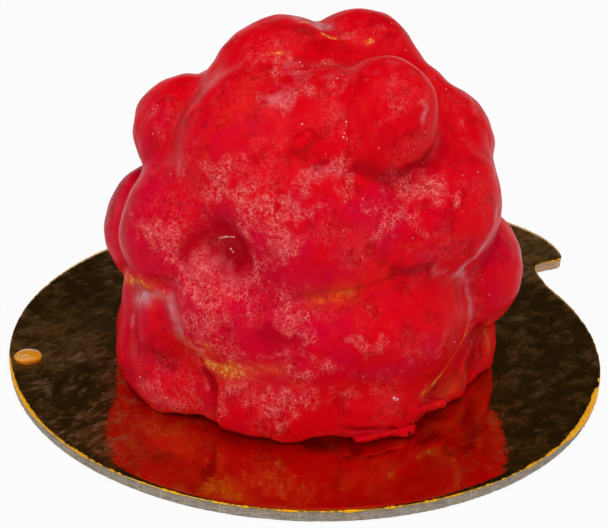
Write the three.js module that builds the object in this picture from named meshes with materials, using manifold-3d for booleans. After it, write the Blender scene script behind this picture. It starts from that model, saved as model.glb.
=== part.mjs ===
// A small glazed mousse cake, moulded as a cluster of round lobes, on a gold cake board with a pull tab.
// Millimetres, +Z up. The origin is the centre of the board's disc, on its underside.
// Azimuth 0 is +X and azimuth -90 is -Y, the cake's front.
import * as THREE from 'three';
import { mergeVertices } from 'three/addons/utils/BufferGeometryUtils.js';
import Module from 'manifold-3d';

// Cake board
const BOARD_RADIUS = 40;
const CARD_THICKNESS = 1.6;
const FILM_THICKNESS = 0.1;
const BOARD_TOP = CARD_THICKNESS + FILM_THICKNESS;
const DISC_STEPS = 96;

// Pull tab: half of its outline as degrees from the tab's middle and distance from the board's centre
const TAB_AZIMUTH = 57;
const TAB_EDGE = [[0, 50.6], [4, 50.6], [8, 50.5], [12.2, 50.1], [15, 49.3], [18, 48.2], [19.3, 47.4]];
const TAB_NECK = [[18.3, 43.4], [18.2, 42.4], [20.5, 41.4], [23.5, 40.7], [26.5, BOARD_RADIUS]];
const TAB_EDGE_STEPS = 10;

// Syrup drop
const DROP_AZIMUTH = -171.3;
const DROP_REACH = 37.5;
const DROP_HALF_WIDTH = 1.8;
const DROP_HALF_LENGTH = 1.7;
const DROP_HEIGHT = 0.7;
const DROP_PROFILE_STEPS = 6;
const DROP_SIDES = 28;

// Cake: the lobes' tiers from the top down. reach is a lobe's distance from the cake's axis, blend is how
// softly the glaze fills the crease to the lobes before it, and stretch widens a lobe outwards, around the
// cake and upwards.
const CAKE_HEART = [
  { azimuth: 0, reach: 0, height: 11, radius: 24, blend: 1, stretch: [1, 1, 0.95] },
  { azimuth: 0, reach: 0, height: 22, radius: 22.4, blend: 3, stretch: [1, 1, 0.95] },
  { azimuth: -90, reach: 1, height: 31, radius: 18.2, blend: 3, stretch: [1, 1, 0.85] },
];
const CROWN = [
  { azimuth: 39, reach: 7.5, height: 40.7, radius: 7.8, blend: 1 },
  { azimuth: 8, reach: 12.1, height: 36.6, radius: 6.2, blend: 2 },
  { azimuth: 165, reach: 4.2, height: 38.6, radius: 9.8, blend: 1.2 },
  { azimuth: -128, reach: 10, height: 33.6, radius: 11.2, blend: 2 },
  { azimuth: -90, reach: 9.2, height: 33, radius: 10.4, blend: 3 },
  { azimuth: -66, reach: 9.6, height: 32.6, radius: 8.6, blend: 3 },
  { azimuth: -74, reach: 11.4, height: 39.8, radius: 5.8, blend: 3.5 },
  { azimuth: -52.5, reach: 14.2, height: 40.7, radius: 6.7, blend: 1.4, stretch: [1, 1.03, 1.16] },
];
const SHOULDER = [
  { azimuth: 5, reach: 15.3, height: 31.5, radius: 8.5, blend: 1.2 },
  { azimuth: -27, reach: 15.9, height: 27, radius: 10, blend: 2.2, stretch: [1, 1.15, 1] },
  { azimuth: 178, reach: 15.9, height: 32.6, radius: 7.6, blend: 1 },
  { azimuth: 52, reach: 14.6, height: 29.5, radius: 9, blend: 1 },
  { azimuth: 96, reach: 14.8, height: 30.5, radius: 9, blend: 1 },
  { azimuth: 138, reach: 14.6, height: 28.8, radius: 9, blend: 1 },
];
const BELLY = [
  { azimuth: 172, reach: 18.4, height: 17.6, radius: 9.2, blend: 0.8 },
  { azimuth: -150, reach: 16.8, height: 22.8, radius: 9.8, blend: 2.4 },
  { azimuth: -100, reach: 14.6, height: 29, radius: 8.4, blend: 4 },
  { azimuth: -80, reach: 14.2, height: 25.4, radius: 10, blend: 3, stretch: [0.85, 1.1, 1] },
  { azimuth: -119, reach: 16.4, height: 16.6, radius: 9.8, blend: 2 },
  { azimuth: -90, reach: 16.4, height: 13.6, radius: 8.6, blend: 3, stretch: [1, 1.1, 1] },
  { azimuth: -58, reach: 16.2, height: 13.8, radius: 9.8, blend: 2.2, stretch: [1, 1.15, 1] },
  { azimuth: -8, reach: 19.5, height: 16, radius: 8.9, blend: 0.7 },
  { azimuth: 20, reach: 18.6, height: 13, radius: 8.4, blend: 1 },
  { azimuth: 45, reach: 18, height: 19, radius: 9.2, blend: 0.9 },
  { azimuth: 76, reach: 18.4, height: 15.6, radius: 9.4, blend: 0.9 },
  { azimuth: 108, reach: 18, height: 20, radius: 9.2, blend: 0.9 },
  { azimuth: 140, reach: 18.2, height: 14.6, radius: 9.4, blend: 0.9 },
];
const FOOT = [
  { azimuth: -167, reach: 18.2, height: 8.6, radius: 7, blend: 1, stretch: [1, 1, 1.4] },
  { azimuth: -143, reach: 20.6, height: 11.4, radius: 5.7, blend: 0.7, stretch: [1, 0.85, 1.35] },
  { azimuth: -160, reach: 18.3, height: 4.2, radius: 8, blend: 1.6 },
  { azimuth: -141, reach: 18.6, height: 3.8, radius: 8.4, blend: 1.2 },
  { azimuth: -108, reach: 17.4, height: 4.2, radius: 8.4, blend: 2.4 },
  { azimuth: -88, reach: 17, height: 3.4, radius: 8.2, blend: 3.4 },
  { azimuth: -64, reach: 17.6, height: 3.4, radius: 8.2, blend: 2.4 },
  { azimuth: -34, reach: 16.6, height: 3.6, radius: 7.8, blend: 1.2 },
  { azimuth: -8, reach: 18.4, height: 5, radius: 7.2, blend: 1, stretch: [1, 1, 1.6] },
  { azimuth: 22, reach: 18.6, height: 4.6, radius: 7.4, blend: 0.8 },
  { azimuth: 54, reach: 18.8, height: 4, radius: 8, blend: 0.8 },
  { azimuth: 88, reach: 18.8, height: 4.8, radius: 8, blend: 0.8 },
  { azimuth: 120, reach: 18.8, height: 4, radius: 8, blend: 0.8 },
  { azimuth: 150, reach: 18.6, height: 4.6, radius: 7.6, blend: 0.8 },
  { azimuth: 179, reach: 18.4, height: 4, radius: 7.2, blend: 0.8 },
];
// The hollow where four front lobes meet
const DIMPLE = { azimuth: -120.5, reach: 25.0, height: 25.6, radius: 3.5, blend: 3.6 };

// Cake skin: directions leave a point on the axis that sees the whole surface
const SKIN_DETAIL = 15;
const EYE_HEIGHT = 20;
const OUTSIDE = 45;
const SKIN_STEP = 0.5;
const SKIN_HALVINGS = 14;
const TRIM_SIZE = 100;

const MATERIALS = {
  redGlaze: new THREE.MeshStandardMaterial({ color: 0xc80f1e, roughness: 0.2, metalness: 0 }),
  greyCard: new THREE.MeshStandardMaterial({ color: 0x989082, roughness: 0.9, metalness: 0 }),
  goldFilm: new THREE.MeshStandardMaterial({ color: 0xc8963c, roughness: 0.12, metalness: 1 }),
  amberSyrup: new THREE.MeshStandardMaterial({ color: 0xcc8a30, roughness: 0.1, metalness: 0 }),
};

const wasm = await Module();
wasm.setup();

function polar(azimuth, reach) {
  const angle = THREE.MathUtils.degToRad(azimuth);
  return new THREE.Vector2(Math.cos(angle), Math.sin(angle)).multiplyScalar(reach);
}

function solidFrom(geometry) {
  const bare = geometry.clone();
  bare.deleteAttribute('normal');
  bare.deleteAttribute('uv');
  const merged = mergeVertices(bare);
  return new wasm.Manifold(new wasm.Mesh({
    numProp: 3,
    vertProperties: new Float32Array(merged.attributes.position.array),
    triVerts: new Uint32Array(merged.index.array),
  }));
}

function geometryFrom(solid) {
  const mesh = solid.getMesh();
  const geometry = new THREE.BufferGeometry();
  geometry.setAttribute('position', new THREE.BufferAttribute(mesh.vertProperties, 3));
  geometry.setIndex(new THREE.BufferAttribute(mesh.triVerts, 1));
  geometry.computeVertexNormals();
  return geometry;
}

function namedMesh(name, geometry, material) {
  const mesh = new THREE.Mesh(geometry, material);
  mesh.name = name;
  return mesh;
}

// Distance from a point to a lobe's surface, below zero inside. It is exact on a round lobe.
function lobeDistance(point, lobe) {
  const [outward, around, upward] = lobe.stretch ?? [1, 1, 1];
  const centre = polar(lobe.azimuth, lobe.reach);
  const facing = polar(lobe.azimuth, 1);
  const dx = point.x - centre.x;
  const dy = point.y - centre.y;
  const local = new THREE.Vector3(
    (dx * facing.x + dy * facing.y) / outward,
    (dy * facing.x - dx * facing.y) / around,
    (point.z - lobe.height) / upward,
  );
  const steepness = new THREE.Vector3(local.x / outward, local.y / around, local.z / upward).length();
  const span = local.length();
  return (span - lobe.radius) * span / Math.max(steepness, Number.EPSILON);
}

// The smaller of two distances, with the crease between them rounded over the blend's width
function softMinimum(first, second, blend) {
  const share = THREE.MathUtils.clamp(0.5 + 0.5 * (second - first) / blend, 0, 1);
  return second * (1 - share) + first * share - blend * share * (1 - share);
}

function cakeDistance(point) {
  let distance = Infinity;
  for (const lobe of [...CAKE_HEART, ...CROWN, ...SHOULDER, ...BELLY, ...FOOT]) {
    const reached = lobeDistance(point, lobe);
    distance = distance === Infinity ? reached : softMinimum(distance, reached, lobe.blend);
  }
  return -softMinimum(-distance, lobeDistance(point, DIMPLE), DIMPLE.blend);
}

// Where a ray from the cake's middle leaves the glaze: it is stepped inwards from outside, then halved.
function skinRadius(eye, direction) {
  const at = (radius) => cakeDistance(eye.clone().addScaledVector(direction, radius));
  let outer = OUTSIDE;
  while (at(outer - SKIN_STEP) > 0) {
    outer -= SKIN_STEP;
  }
  let inner = outer - SKIN_STEP;
  for (let halving = 0; halving < SKIN_HALVINGS; halving += 1) {
    const middle = (inner + outer) / 2;
    if (at(middle) > 0) {
      outer = middle;
    } else {
      inner = middle;
    }
  }
  return (inner + outer) / 2;
}

// The glazed skin is a fine ball whose points are pulled out to the lobes, then cut flat at the board.
function glazedCake() {
  const ball = new THREE.IcosahedronGeometry(1, SKIN_DETAIL);
  ball.deleteAttribute('normal');
  ball.deleteAttribute('uv');
  const skin = mergeVertices(ball);
  const eye = new THREE.Vector3(0, 0, EYE_HEIGHT);
  const places = skin.attributes.position;
  const direction = new THREE.Vector3();
  for (let index = 0; index < places.count; index += 1) {
    direction.fromBufferAttribute(places, index).normalize();
    const place = eye.clone().addScaledVector(direction, skinRadius(eye, direction));
    places.setXYZ(index, place.x, place.y, place.z);
  }
  const above = new THREE.BoxGeometry(TRIM_SIZE, TRIM_SIZE, TRIM_SIZE);
  above.translate(0, 0, BOARD_TOP + TRIM_SIZE / 2);
  return geometryFrom(solidFrom(skin).intersect(solidFrom(above)));
}

// The board's outline: the disc's long arc from one side of the tab round to the other, then the tab
function boardShape() {
  const neckAngle = TAB_NECK.at(-1)[0];
  const edgePoints = [...TAB_EDGE.slice(1).reverse().map(([angle, reach]) => [-angle, reach]), ...TAB_EDGE];
  const edge = new THREE.SplineCurve(edgePoints.map(([angle, reach]) => polar(TAB_AZIMUTH + angle, reach)));
  const shape = new THREE.Shape();
  const start = THREE.MathUtils.degToRad(TAB_AZIMUTH + neckAngle);
  const end = THREE.MathUtils.degToRad(TAB_AZIMUTH - neckAngle) + 2 * Math.PI;
  shape.absarc(0, 0, BOARD_RADIUS, start, end, false);
  for (const [angle, reach] of TAB_NECK.slice(0, -1).reverse()) {
    const corner = polar(TAB_AZIMUTH - angle, reach);
    shape.lineTo(corner.x, corner.y);
  }
  for (const point of edge.getPoints(TAB_EDGE_STEPS * 2)) {
    shape.lineTo(point.x, point.y);
  }
  for (const [angle, reach] of TAB_NECK.slice(0, -1)) {
    const corner = polar(TAB_AZIMUTH + angle, reach);
    shape.lineTo(corner.x, corner.y);
  }
  return shape;
}

function boardLayer(thickness) {
  const options = { depth: thickness, bevelEnabled: false, curveSegments: DISC_STEPS / 2 };
  return new THREE.ExtrudeGeometry(boardShape(), options);
}

// A low oval dome, flat where it lies on the film
function syrupDrop() {
  const profile = [new THREE.Vector2(0, 0)];
  for (let step = 0; step <= DROP_PROFILE_STEPS; step += 1) {
    const angle = (step / DROP_PROFILE_STEPS) * Math.PI / 2;
    profile.push(new THREE.Vector2(Math.cos(angle), DROP_HEIGHT * Math.sin(angle)));
  }
  profile.at(-1).x = 0;
  const drop = new THREE.LatheGeometry(profile, DROP_SIDES);
  drop.rotateX(Math.PI / 2);
  drop.scale(DROP_HALF_WIDTH, DROP_HALF_LENGTH, 1);
  return drop;
}

const cakeOnBoard = new THREE.Group();
cakeOnBoard.add(namedMesh('glazed_cake', glazedCake(), MATERIALS.redGlaze));
cakeOnBoard.add(namedMesh('board_card', boardLayer(CARD_THICKNESS), MATERIALS.greyCard));

const film = namedMesh('board_film', boardLayer(FILM_THICKNESS), MATERIALS.goldFilm);
film.position.z = CARD_THICKNESS;
cakeOnBoard.add(film);

const drop = namedMesh('syrup_drop', syrupDrop(), MATERIALS.amberSyrup);
const dropPlace = polar(DROP_AZIMUTH, DROP_REACH);
drop.position.set(dropPlace.x, dropPlace.y, BOARD_TOP);
cakeOnBoard.add(drop);

export default cakeOnBoard;
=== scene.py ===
"""A small glazed mousse cake on its gold cake board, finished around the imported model.

The cake's skin is a net of faces wrapped round a soft union of lobes. The board is a card disc with a pull
tab, under a mirror-like gold film that rolls over its cut edge. A drop of syrup has set near the rim.
Shapes are worked out in millimetres and made in metres.
"""
import logging
import math
from dataclasses import dataclass, field
from enum import Enum

import bmesh
import bpy
import numpy as np
from mathutils import Matrix, Vector


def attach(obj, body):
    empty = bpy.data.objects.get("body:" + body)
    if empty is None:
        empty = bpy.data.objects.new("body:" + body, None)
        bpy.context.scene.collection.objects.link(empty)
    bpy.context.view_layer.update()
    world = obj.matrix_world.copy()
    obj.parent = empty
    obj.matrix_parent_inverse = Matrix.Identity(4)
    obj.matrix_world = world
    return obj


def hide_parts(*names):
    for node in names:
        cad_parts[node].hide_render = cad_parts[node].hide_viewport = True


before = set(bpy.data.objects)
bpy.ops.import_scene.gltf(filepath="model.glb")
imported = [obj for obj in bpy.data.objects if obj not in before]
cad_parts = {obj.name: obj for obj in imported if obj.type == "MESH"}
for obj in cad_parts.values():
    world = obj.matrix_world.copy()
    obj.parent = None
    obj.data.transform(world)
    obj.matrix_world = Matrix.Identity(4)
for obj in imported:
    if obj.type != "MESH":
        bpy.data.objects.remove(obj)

MM = 0.001
TINY = 1e-9
TINIEST = 1e-12
LOG = logging.getLogger("cake_on_board")
BODY = "root"

Colour = tuple[float, float, float]
Triple = tuple[float, float, float]
Pairs = tuple[tuple[float, float], ...]
Array = np.ndarray
Socket = bpy.types.NodeSocket
Piece = bpy.types.Object
Material = bpy.types.Material


class Slot(Enum):
    """The record's material slots."""

    GLAZE = "red_glaze"
    CARD = "grey_card"
    FILM = "gold_film"
    SYRUP = "amber_syrup"


# ---- Node trees ----


class NodeBench:
    """Adds nodes to one tree and joins their sockets."""

    full_near = 0.35

    def __init__(self, tree: bpy.types.NodeTree) -> None:
        """Starts from an empty tree.

        Args:
            tree: The node tree to fill.
        """
        self.tree = tree
        tree.nodes.clear()

    def node(self, kind: str, settings: dict | None = None, inputs: dict | None = None) -> bpy.types.Node:
        """Adds one node.

        Args:
            kind: The node's type name.
            settings: The node's own properties, set before its sockets.
            inputs: Socket name, identifier or index, to a value, a socket or a Signal.

        Returns:
            The node.
        """
        made = self.tree.nodes.new(kind)
        for name, value in (settings or {}).items():
            setattr(made, name, value)
        for key, value in (inputs or {}).items():
            self.plug(pick(made.inputs, key), value)
        return made

    def plug(self, socket: Socket, value: object) -> None:
        """Links a socket to another, or gives it a value.

        Args:
            socket: The input socket.
            value: A socket, a Signal, a number or a tuple.
        """
        if isinstance(value, Signal):
            value = value.socket
        if isinstance(value, Socket):
            self.tree.links.new(value, socket)
        elif isinstance(value, tuple) and socket.type == "RGBA" and len(value) == 3:
            socket.default_value = (*value, 1.0)
        else:
            socket.default_value = value

    def signal(self, socket: Socket) -> "Signal":
        """Wraps an output socket for maths."""
        return Signal(self, socket)

    def blend(self, share: object, first: object, second: object) -> Socket:
        """Mixes two colours.

        Args:
            share: How much of the second shows.
            first: The colour at share 0.
            second: The colour at share 1.

        Returns:
            The mixed colour's socket.
        """
        settings = {"data_type": "RGBA", "blend_type": "MIX", "clamp_factor": True}
        inputs = {"Factor_Float": share, "A_Color": first, "B_Color": second}
        return pick(self.node("ShaderNodeMix", settings, inputs).outputs, "Result_Color")

    def vector(self, operation: str, *inputs: object) -> Socket:
        """Works out one Vector Math node's vector.

        Args:
            operation: The node's operation.
            *inputs: Its vectors, in order.

        Returns:
            The result's socket.
        """
        sockets = dict(enumerate(inputs))
        return self.node("ShaderNodeVectorMath", {"operation": operation}, sockets).outputs["Vector"]

    def noise(self, place: object, scale: float, detail: float = 2.0, rough: float = 0.5) -> "Signal":
        """A noise between 0 and 1.

        Args:
            place: The position's socket.
            scale: Waves to the metre.
            detail: Finer layers.
            rough: How strong the finer layers are.

        Returns:
            The noise.
        """
        inputs = {"Vector": place, "Scale": scale, "Detail": detail, "Roughness": rough}
        return self.signal(self.node("ShaderNodeTexNoise", None, inputs).outputs["Fac"])

    def warped(self, place: object, scale: float, reach: float) -> Socket:
        """Pushes a position about by a coloured noise.

        Args:
            place: The position's socket.
            scale: The noise's waves to the metre.
            reach: How far a point may move, in metres.

        Returns:
            The new position's socket.
        """
        noise = self.node("ShaderNodeTexNoise", None, {"Vector": place, "Scale": scale}).outputs["Color"]
        centred = self.vector("SUBTRACT", noise, (0.5, 0.5, 0.5))
        pushed = self.vector("MULTIPLY", centred, (2 * reach, 2 * reach, 2 * reach))
        return self.vector("ADD", place, pushed)

    def cell_edge(self, place: object, scale: float) -> "Signal":
        """Distance to the nearest edge of a field of cells, in cell widths.

        Args:
            place: The position's socket.
            scale: Cells to the metre.

        Returns:
            The distance.
        """
        inputs = {"Vector": place, "Scale": scale}
        cells = self.node("ShaderNodeTexVoronoi", {"feature": "DISTANCE_TO_EDGE"}, inputs)
        return self.signal(cells.outputs["Distance"])

    def attribute(self, name: str) -> "Signal":
        """Reads a number painted on the mesh's points."""
        return self.signal(self.node("ShaderNodeAttribute", {"attribute_name": name}).outputs["Fac"])

    def near(self, place: object, spot: tuple, reach: float) -> "Signal":
        """A soft mask round a spot, full up to a share of its reach.

        Args:
            place: The position's socket.
            spot: The spot's middle.
            reach: How far the mask goes.

        Returns:
            1 at the spot, falling to 0.
        """
        gap = self.node("ShaderNodeVectorMath", {"operation": "DISTANCE"}, {0: place, 1: spot})
        return self.signal(gap.outputs["Value"]).rise(reach * self.full_near, reach, 1.0, 0.0)

    def bump(self, height: object, depth: float, strength: float = 1.0, before: object = None) -> Socket:
        """Turns a height into a normal.

        Args:
            height: The height, from 0 to 1.
            depth: What height 1 stands for, in metres.
            strength: The bump's share.
            before: A normal that this one is laid on.

        Returns:
            The normal's socket.
        """
        inputs = {"Height": height, "Distance": depth, "Strength": strength}
        if before is not None:
            inputs["Normal"] = before
        return self.node("ShaderNodeBump", None, inputs).outputs["Normal"]


def pick(sockets: bpy.types.bpy_prop_collection, key: str | int) -> Socket:
    """Finds a socket.

    Args:
        sockets: A node's inputs or outputs.
        key: The socket's identifier, name or index.

    Returns:
        The socket.
    """
    if isinstance(key, int):
        return sockets[key]
    for socket in sockets:
        if socket.identifier == key:
            return socket
    return sockets[key]


class Signal:
    """A number on a socket, so that shader maths reads as Python does."""

    def __init__(self, bench: NodeBench, socket: Socket) -> None:
        """Wraps a socket.

        Args:
            bench: The tree's bench.
            socket: The output socket that holds the number.
        """
        self.bench = bench
        self.socket = socket

    def _math(self, operation: str, *inputs: object) -> "Signal":
        """Adds one Math node.

        Args:
            operation: The node's operation.
            *inputs: Its numbers, in order.

        Returns:
            The result.
        """
        node = self.bench.node("ShaderNodeMath", {"operation": operation}, dict(enumerate(inputs)))
        return Signal(self.bench, node.outputs[0])

    def __add__(self, other: object) -> "Signal":
        """self + other."""
        return self._math("ADD", self, other)

    __radd__ = __add__

    def __sub__(self, other: object) -> "Signal":
        """self - other."""
        return self._math("SUBTRACT", self, other)

    def __rsub__(self, other: object) -> "Signal":
        """other - self."""
        return self._math("SUBTRACT", other, self)

    def __mul__(self, other: object) -> "Signal":
        """self * other."""
        return self._math("MULTIPLY", self, other)

    __rmul__ = __mul__

    def __abs__(self) -> "Signal":
        """Its size, without its sign."""
        return self._math("ABSOLUTE", self)

    def larger(self, other: object) -> "Signal":
        """The larger of the two."""
        return self._math("MAXIMUM", self, other)

    def rise(self, low: float, high: float, bottom: float = 0.0, top: float = 1.0) -> "Signal":
        """A smooth step.

        Args:
            low: Where it starts.
            high: Where it ends.
            bottom: Its value at low.
            top: Its value at high.

        Returns:
            The stepped number.
        """
        inputs = {"Value": self, "From Min": low, "From Max": high, "To Min": bottom, "To Max": top}
        node = self.bench.node("ShaderNodeMapRange", {"interpolation_type": "SMOOTHSTEP"}, inputs)
        return Signal(self.bench, node.outputs["Result"])


@dataclass(frozen=True)
class Pattern:
    """A noise, and the broader noise that pushes it about, in waves to the metre and metres."""

    scale: float
    detail: float = 2.0
    rough: float = 0.5
    push_scale: float = 0.0
    push_reach: float = 0.0

    def over(self, bench: NodeBench, place: object) -> Signal:
        """Lays the noise over a surface.

        Args:
            bench: The tree's bench.
            place: The position's socket.

        Returns:
            The noise, between 0 and 1.
        """
        if self.push_reach:
            place = bench.warped(place, self.push_scale, self.push_reach)
        return bench.noise(place, self.scale, self.detail, self.rough)


class Finish:
    """What every finish shares: a material whose surface it fills."""

    name = "finish"

    def make(self) -> Material:
        """Makes the material.

        Returns:
            The material.
        """
        material = bpy.data.materials.new(self.name)
        material.use_nodes = True
        bench = NodeBench(material.node_tree)
        place = bench.node("ShaderNodeTexCoord").outputs["Object"]
        surface = self.fill(bench, place)
        bench.node("ShaderNodeOutputMaterial", None, {"Surface": surface})
        return material

    def fill(self, bench: NodeBench, place: Socket) -> Socket:
        """Adds the finish's nodes.

        Args:
            bench: The material's bench.
            place: The object position's socket.

        Returns:
            The shader's socket.
        """
        raise NotImplementedError


@dataclass(frozen=True)
class GlazeFinish(Finish):
    """Red sugar glaze: mottled and softly glossy, with lacy threads of sugar bloom where it has dried;
    painted light, shade and sheen are in its colour.
    """

    name: str = "red glaze"
    bright: Colour = (0.75, 0.0006, 0.008)
    rose: Colour = (0.66, 0.0002, 0.027)
    deep: Colour = (0.47, 0.0001, 0.005)
    shade: Colour = (0.36, 0.0001, 0.004)
    orange: Colour = (0.80, 0.013, 0.008)
    lace: Colour = (0.82, 0.078, 0.080)
    pale_lace: Colour = (0.92, 0.185, 0.172)
    frost: Colour = (0.66, 0.062, 0.088)
    amber: Colour = (0.80, 0.110, 0.012)
    gilt: Colour = (1.0, 0.540, 0.130)
    haze: Colour = (0.70, 0.25, 0.29)
    clouds: Pattern = Pattern(110, 3, 0.55, 120, 0.004)
    patches: Pattern = Pattern(330, 5, 0.68, 300, 0.0012)
    mottling: Pattern = Pattern(520, 4, 0.62, 260, 0.0015)
    graining: Pattern = Pattern(1700, 3, 0.62)
    swelling: Pattern = Pattern(420)
    bloom_edge: Pattern = Pattern(300, 5, 0.7)
    wide_cells: float = 1800
    fine_cells: float = 3000
    wide_gaps: Pattern = Pattern(1250)
    fine_gaps: Pattern = Pattern(820)
    stray_threads: Pattern = Pattern(170, 3, 0.6)
    frost_edge: Pattern = Pattern(520, 5, 0.75, 700, 0.0006)
    pinholes: Pattern = Pattern(1500)
    gilt_curls: Pattern = Pattern(900, 3, 0.6, 700, 0.0008)
    gilt_dots: Pattern = Pattern(2100)
    gilt_blots: Pattern = Pattern(1300, 3)

    def fill(self, bench: NodeBench, place: Socket) -> Socket:
        """Adds the glaze's nodes.

        Args:
            bench: The material's bench.
            place: The object position's socket.

        Returns:
            The shader's socket.
        """
        parts = bench.node("ShaderNodeSeparateXYZ", None, {"Vector": place}).outputs
        # Painted light: these shares make the glaze's colour brighter towards the top, towards the right
        # side and just above the foot.
        upper = bench.signal(parts["Z"]).rise(0.026, 0.046, 0.0, 0.28)
        right = bench.signal(parts["X"]).rise(-0.004, 0.022, 0.0, 0.16)
        low = bench.signal(parts["Z"]).rise(0.004, 0.013, 0.20, 0.0)
        cloud = self.clouds.over(bench, place)
        patchy = self.patches.over(bench, place)
        mottle = self.mottling.over(bench, place)
        grain = self.graining.over(bench, place)
        hollow = bench.attribute("hollow")
        cover = self._cover(bench, place)
        frost = self._frost(bench, place)
        lace = self._lace(bench, place, cover)
        gilt = self._gilt(bench, place)
        crack = self._line(bench, "crack", 0.02, 0.13) * grain.rise(0.3, 0.5, 0.3, 1.0)
        thread = self._line(bench, "thread", 0.02, 0.30) * mottle.rise(0.38, 0.56, 0.1, 0.75)
        # Painted sheen: pale lilac highlight strokes, broken up by the patchy noise.
        haze = bench.attribute("haze") * patchy.rise(0.36, 0.60, 0.1, 0.95)
        glow = bench.attribute("gilt") * mottle.rise(0.32, 0.58, 0.15, 0.65)
        colour = bench.blend((cloud + upper + right + low).rise(0.44, 0.72), self.rose, self.bright)
        warmth = bench.attribute("warm") * patchy.rise(0.34, 0.6, 0.35, 1.0)
        colour = bench.blend(warmth, colour, self.orange)
        colour = bench.blend(patchy.rise(0.50, 0.64, 0.0, 0.62), colour, self.deep)
        colour = bench.blend(mottle.rise(0.53, 0.68, 0.0, 0.36), colour, self.orange)
        colour = bench.blend(grain.rise(0.56, 0.74, 0.0, 0.35), colour, self.deep)
        # Painted shade: the glaze darkens towards its shade colour in creases and along the dark strokes
        # that are painted into the hollow attribute.
        colour = bench.blend(hollow.rise(0.12, 0.85, 0.0, 0.75), colour, self.shade)
        colour = bench.blend(haze, colour, self.haze)
        colour = bench.blend(cover * 0.07, colour, self.frost)
        colour = bench.blend(frost * 0.78, colour, self.frost)
        colour = bench.blend(lace, colour, bench.blend(grain.rise(0.44, 0.64), self.lace, self.pale_lace))
        colour = bench.blend(crack * 0.42, colour, self.shade)
        colour = bench.blend(glow.larger(thread), colour, self.amber)
        golden = bench.blend(grain.rise(0.42, 0.6), self.amber, self.gilt)
        colour = bench.blend(gilt, colour, golden)
        normal = bench.bump(self.swelling.over(bench, place), 0.00010, 0.5)
        normal = bench.bump(lace + frost * 0.5 - crack * 2.0, 0.00006, 0.7, normal)
        inputs = {
            "Base Color": colour,
            "Roughness": lace * 0.2 + grain.rise(0.3, 0.7, 0.30, 0.42),
            "Specular IOR Level": 0.025,
            "Coat Weight": bench.attribute("wet") + 0.035,
            "Coat Roughness": 0.07,
            "Coat IOR": 1.25,
            "Subsurface Weight": 0.12,
            "Subsurface Radius": (1.0, 0.12, 0.08),
            "Subsurface Scale": 0.0014,
            "Normal": normal,
        }
        return bench.node("ShaderNodeBsdfPrincipled", None, inputs).outputs["BSDF"]

    def _cover(self, bench: NodeBench, place: Socket) -> Signal:
        """How thickly the bloom grows: as painted, with a ragged edge.

        Args:
            bench: The material's bench.
            place: The object position's socket.

        Returns:
            The bloom's share.
        """
        ragged = self.bloom_edge.over(bench, place)
        open_ground = bench.attribute("hollow").rise(0.30, 0.62, 1.0, 0.0)
        return (bench.attribute("bloom") + ragged * 1.2).rise(0.80, 1.50) * open_ground

    def _lace(self, bench: NodeBench, place: Socket, cover: Signal) -> Signal:
        """Branching threads of sugar: dense where the bloom grows, a few thin ones elsewhere.

        Args:
            bench: The material's bench.
            place: The object position's socket.
            cover: The bloom's share.

        Returns:
            The threads' mask.
        """
        curled = bench.warped(bench.warped(place, 500, 0.0007), 1500, 0.00030)
        wide = bench.cell_edge(curled, self.wide_cells).rise(0.02, 0.19, 1.0, 0.0)
        pushed = bench.warped(place, 1100, 0.0005)
        fine = bench.cell_edge(pushed, self.fine_cells).rise(0.02, 0.24, 1.0, 0.0)
        wide_kept = self.wide_gaps.over(bench, place).rise(0.38, 0.52)
        fine_kept = self.fine_gaps.over(bench, place).rise(0.42, 0.58)
        stray = self.stray_threads.over(bench, place).rise(0.46, 0.68, 0.0, 0.24)
        threads = wide * wide_kept * 0.92 + fine * fine_kept * 0.46
        return threads * cover.larger(stray)

    def _line(self, bench: NodeBench, name: str, core: float, edge: float) -> Signal:
        """A crisp thin line, from the offset to it that is painted on the points.

        Args:
            bench: The material's bench.
            name: The line's attribute.
            core: How far from its middle it is full, in millimetres.
            edge: How far from its middle it ends, in millimetres.

        Returns:
            The line's mask.
        """
        offset = abs(bench.attribute(name)).rise(core, edge, 1.0, 0.0)
        return offset * bench.attribute(f"{name}_gap").rise(0.30, 0.50, 1.0, 0.0)

    def _frost(self, bench: NodeBench, place: Socket) -> Signal:
        """Pale patches where the bloom has grown together, with pinholes left in them.

        Args:
            bench: The material's bench.
            place: The object position's socket.

        Returns:
            The patches' mask.
        """
        ragged = self.frost_edge.over(bench, place)
        holes = self.pinholes.over(bench, place).rise(0.40, 0.56, 0.35, 1.0)
        return (bench.attribute("frost") + ragged * 1.1).rise(0.85, 1.50) * holes

    def _gilt(self, bench: NodeBench, place: Socket) -> Signal:
        """Golden lines of thin glaze along some creases.

        Args:
            bench: The material's bench.
            place: The object position's socket.

        Returns:
            The lines' mask.
        """
        laid = bench.attribute("gilt")
        curls = abs(self.gilt_curls.over(bench, place) - 0.5).rise(0.015, 0.075, 1.0, 0.0)
        dots = self.gilt_dots.over(bench, place).rise(0.60, 0.68)
        blots = self.gilt_blots.over(bench, place).rise(0.36, 0.52, 0.3, 1.0)
        thin = curls.larger(dots) * laid.rise(0.35, 0.85, 0.0, 0.9)
        return thin.larger(laid.rise(1.15, 1.6, 0.0, 0.8) * blots)


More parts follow.
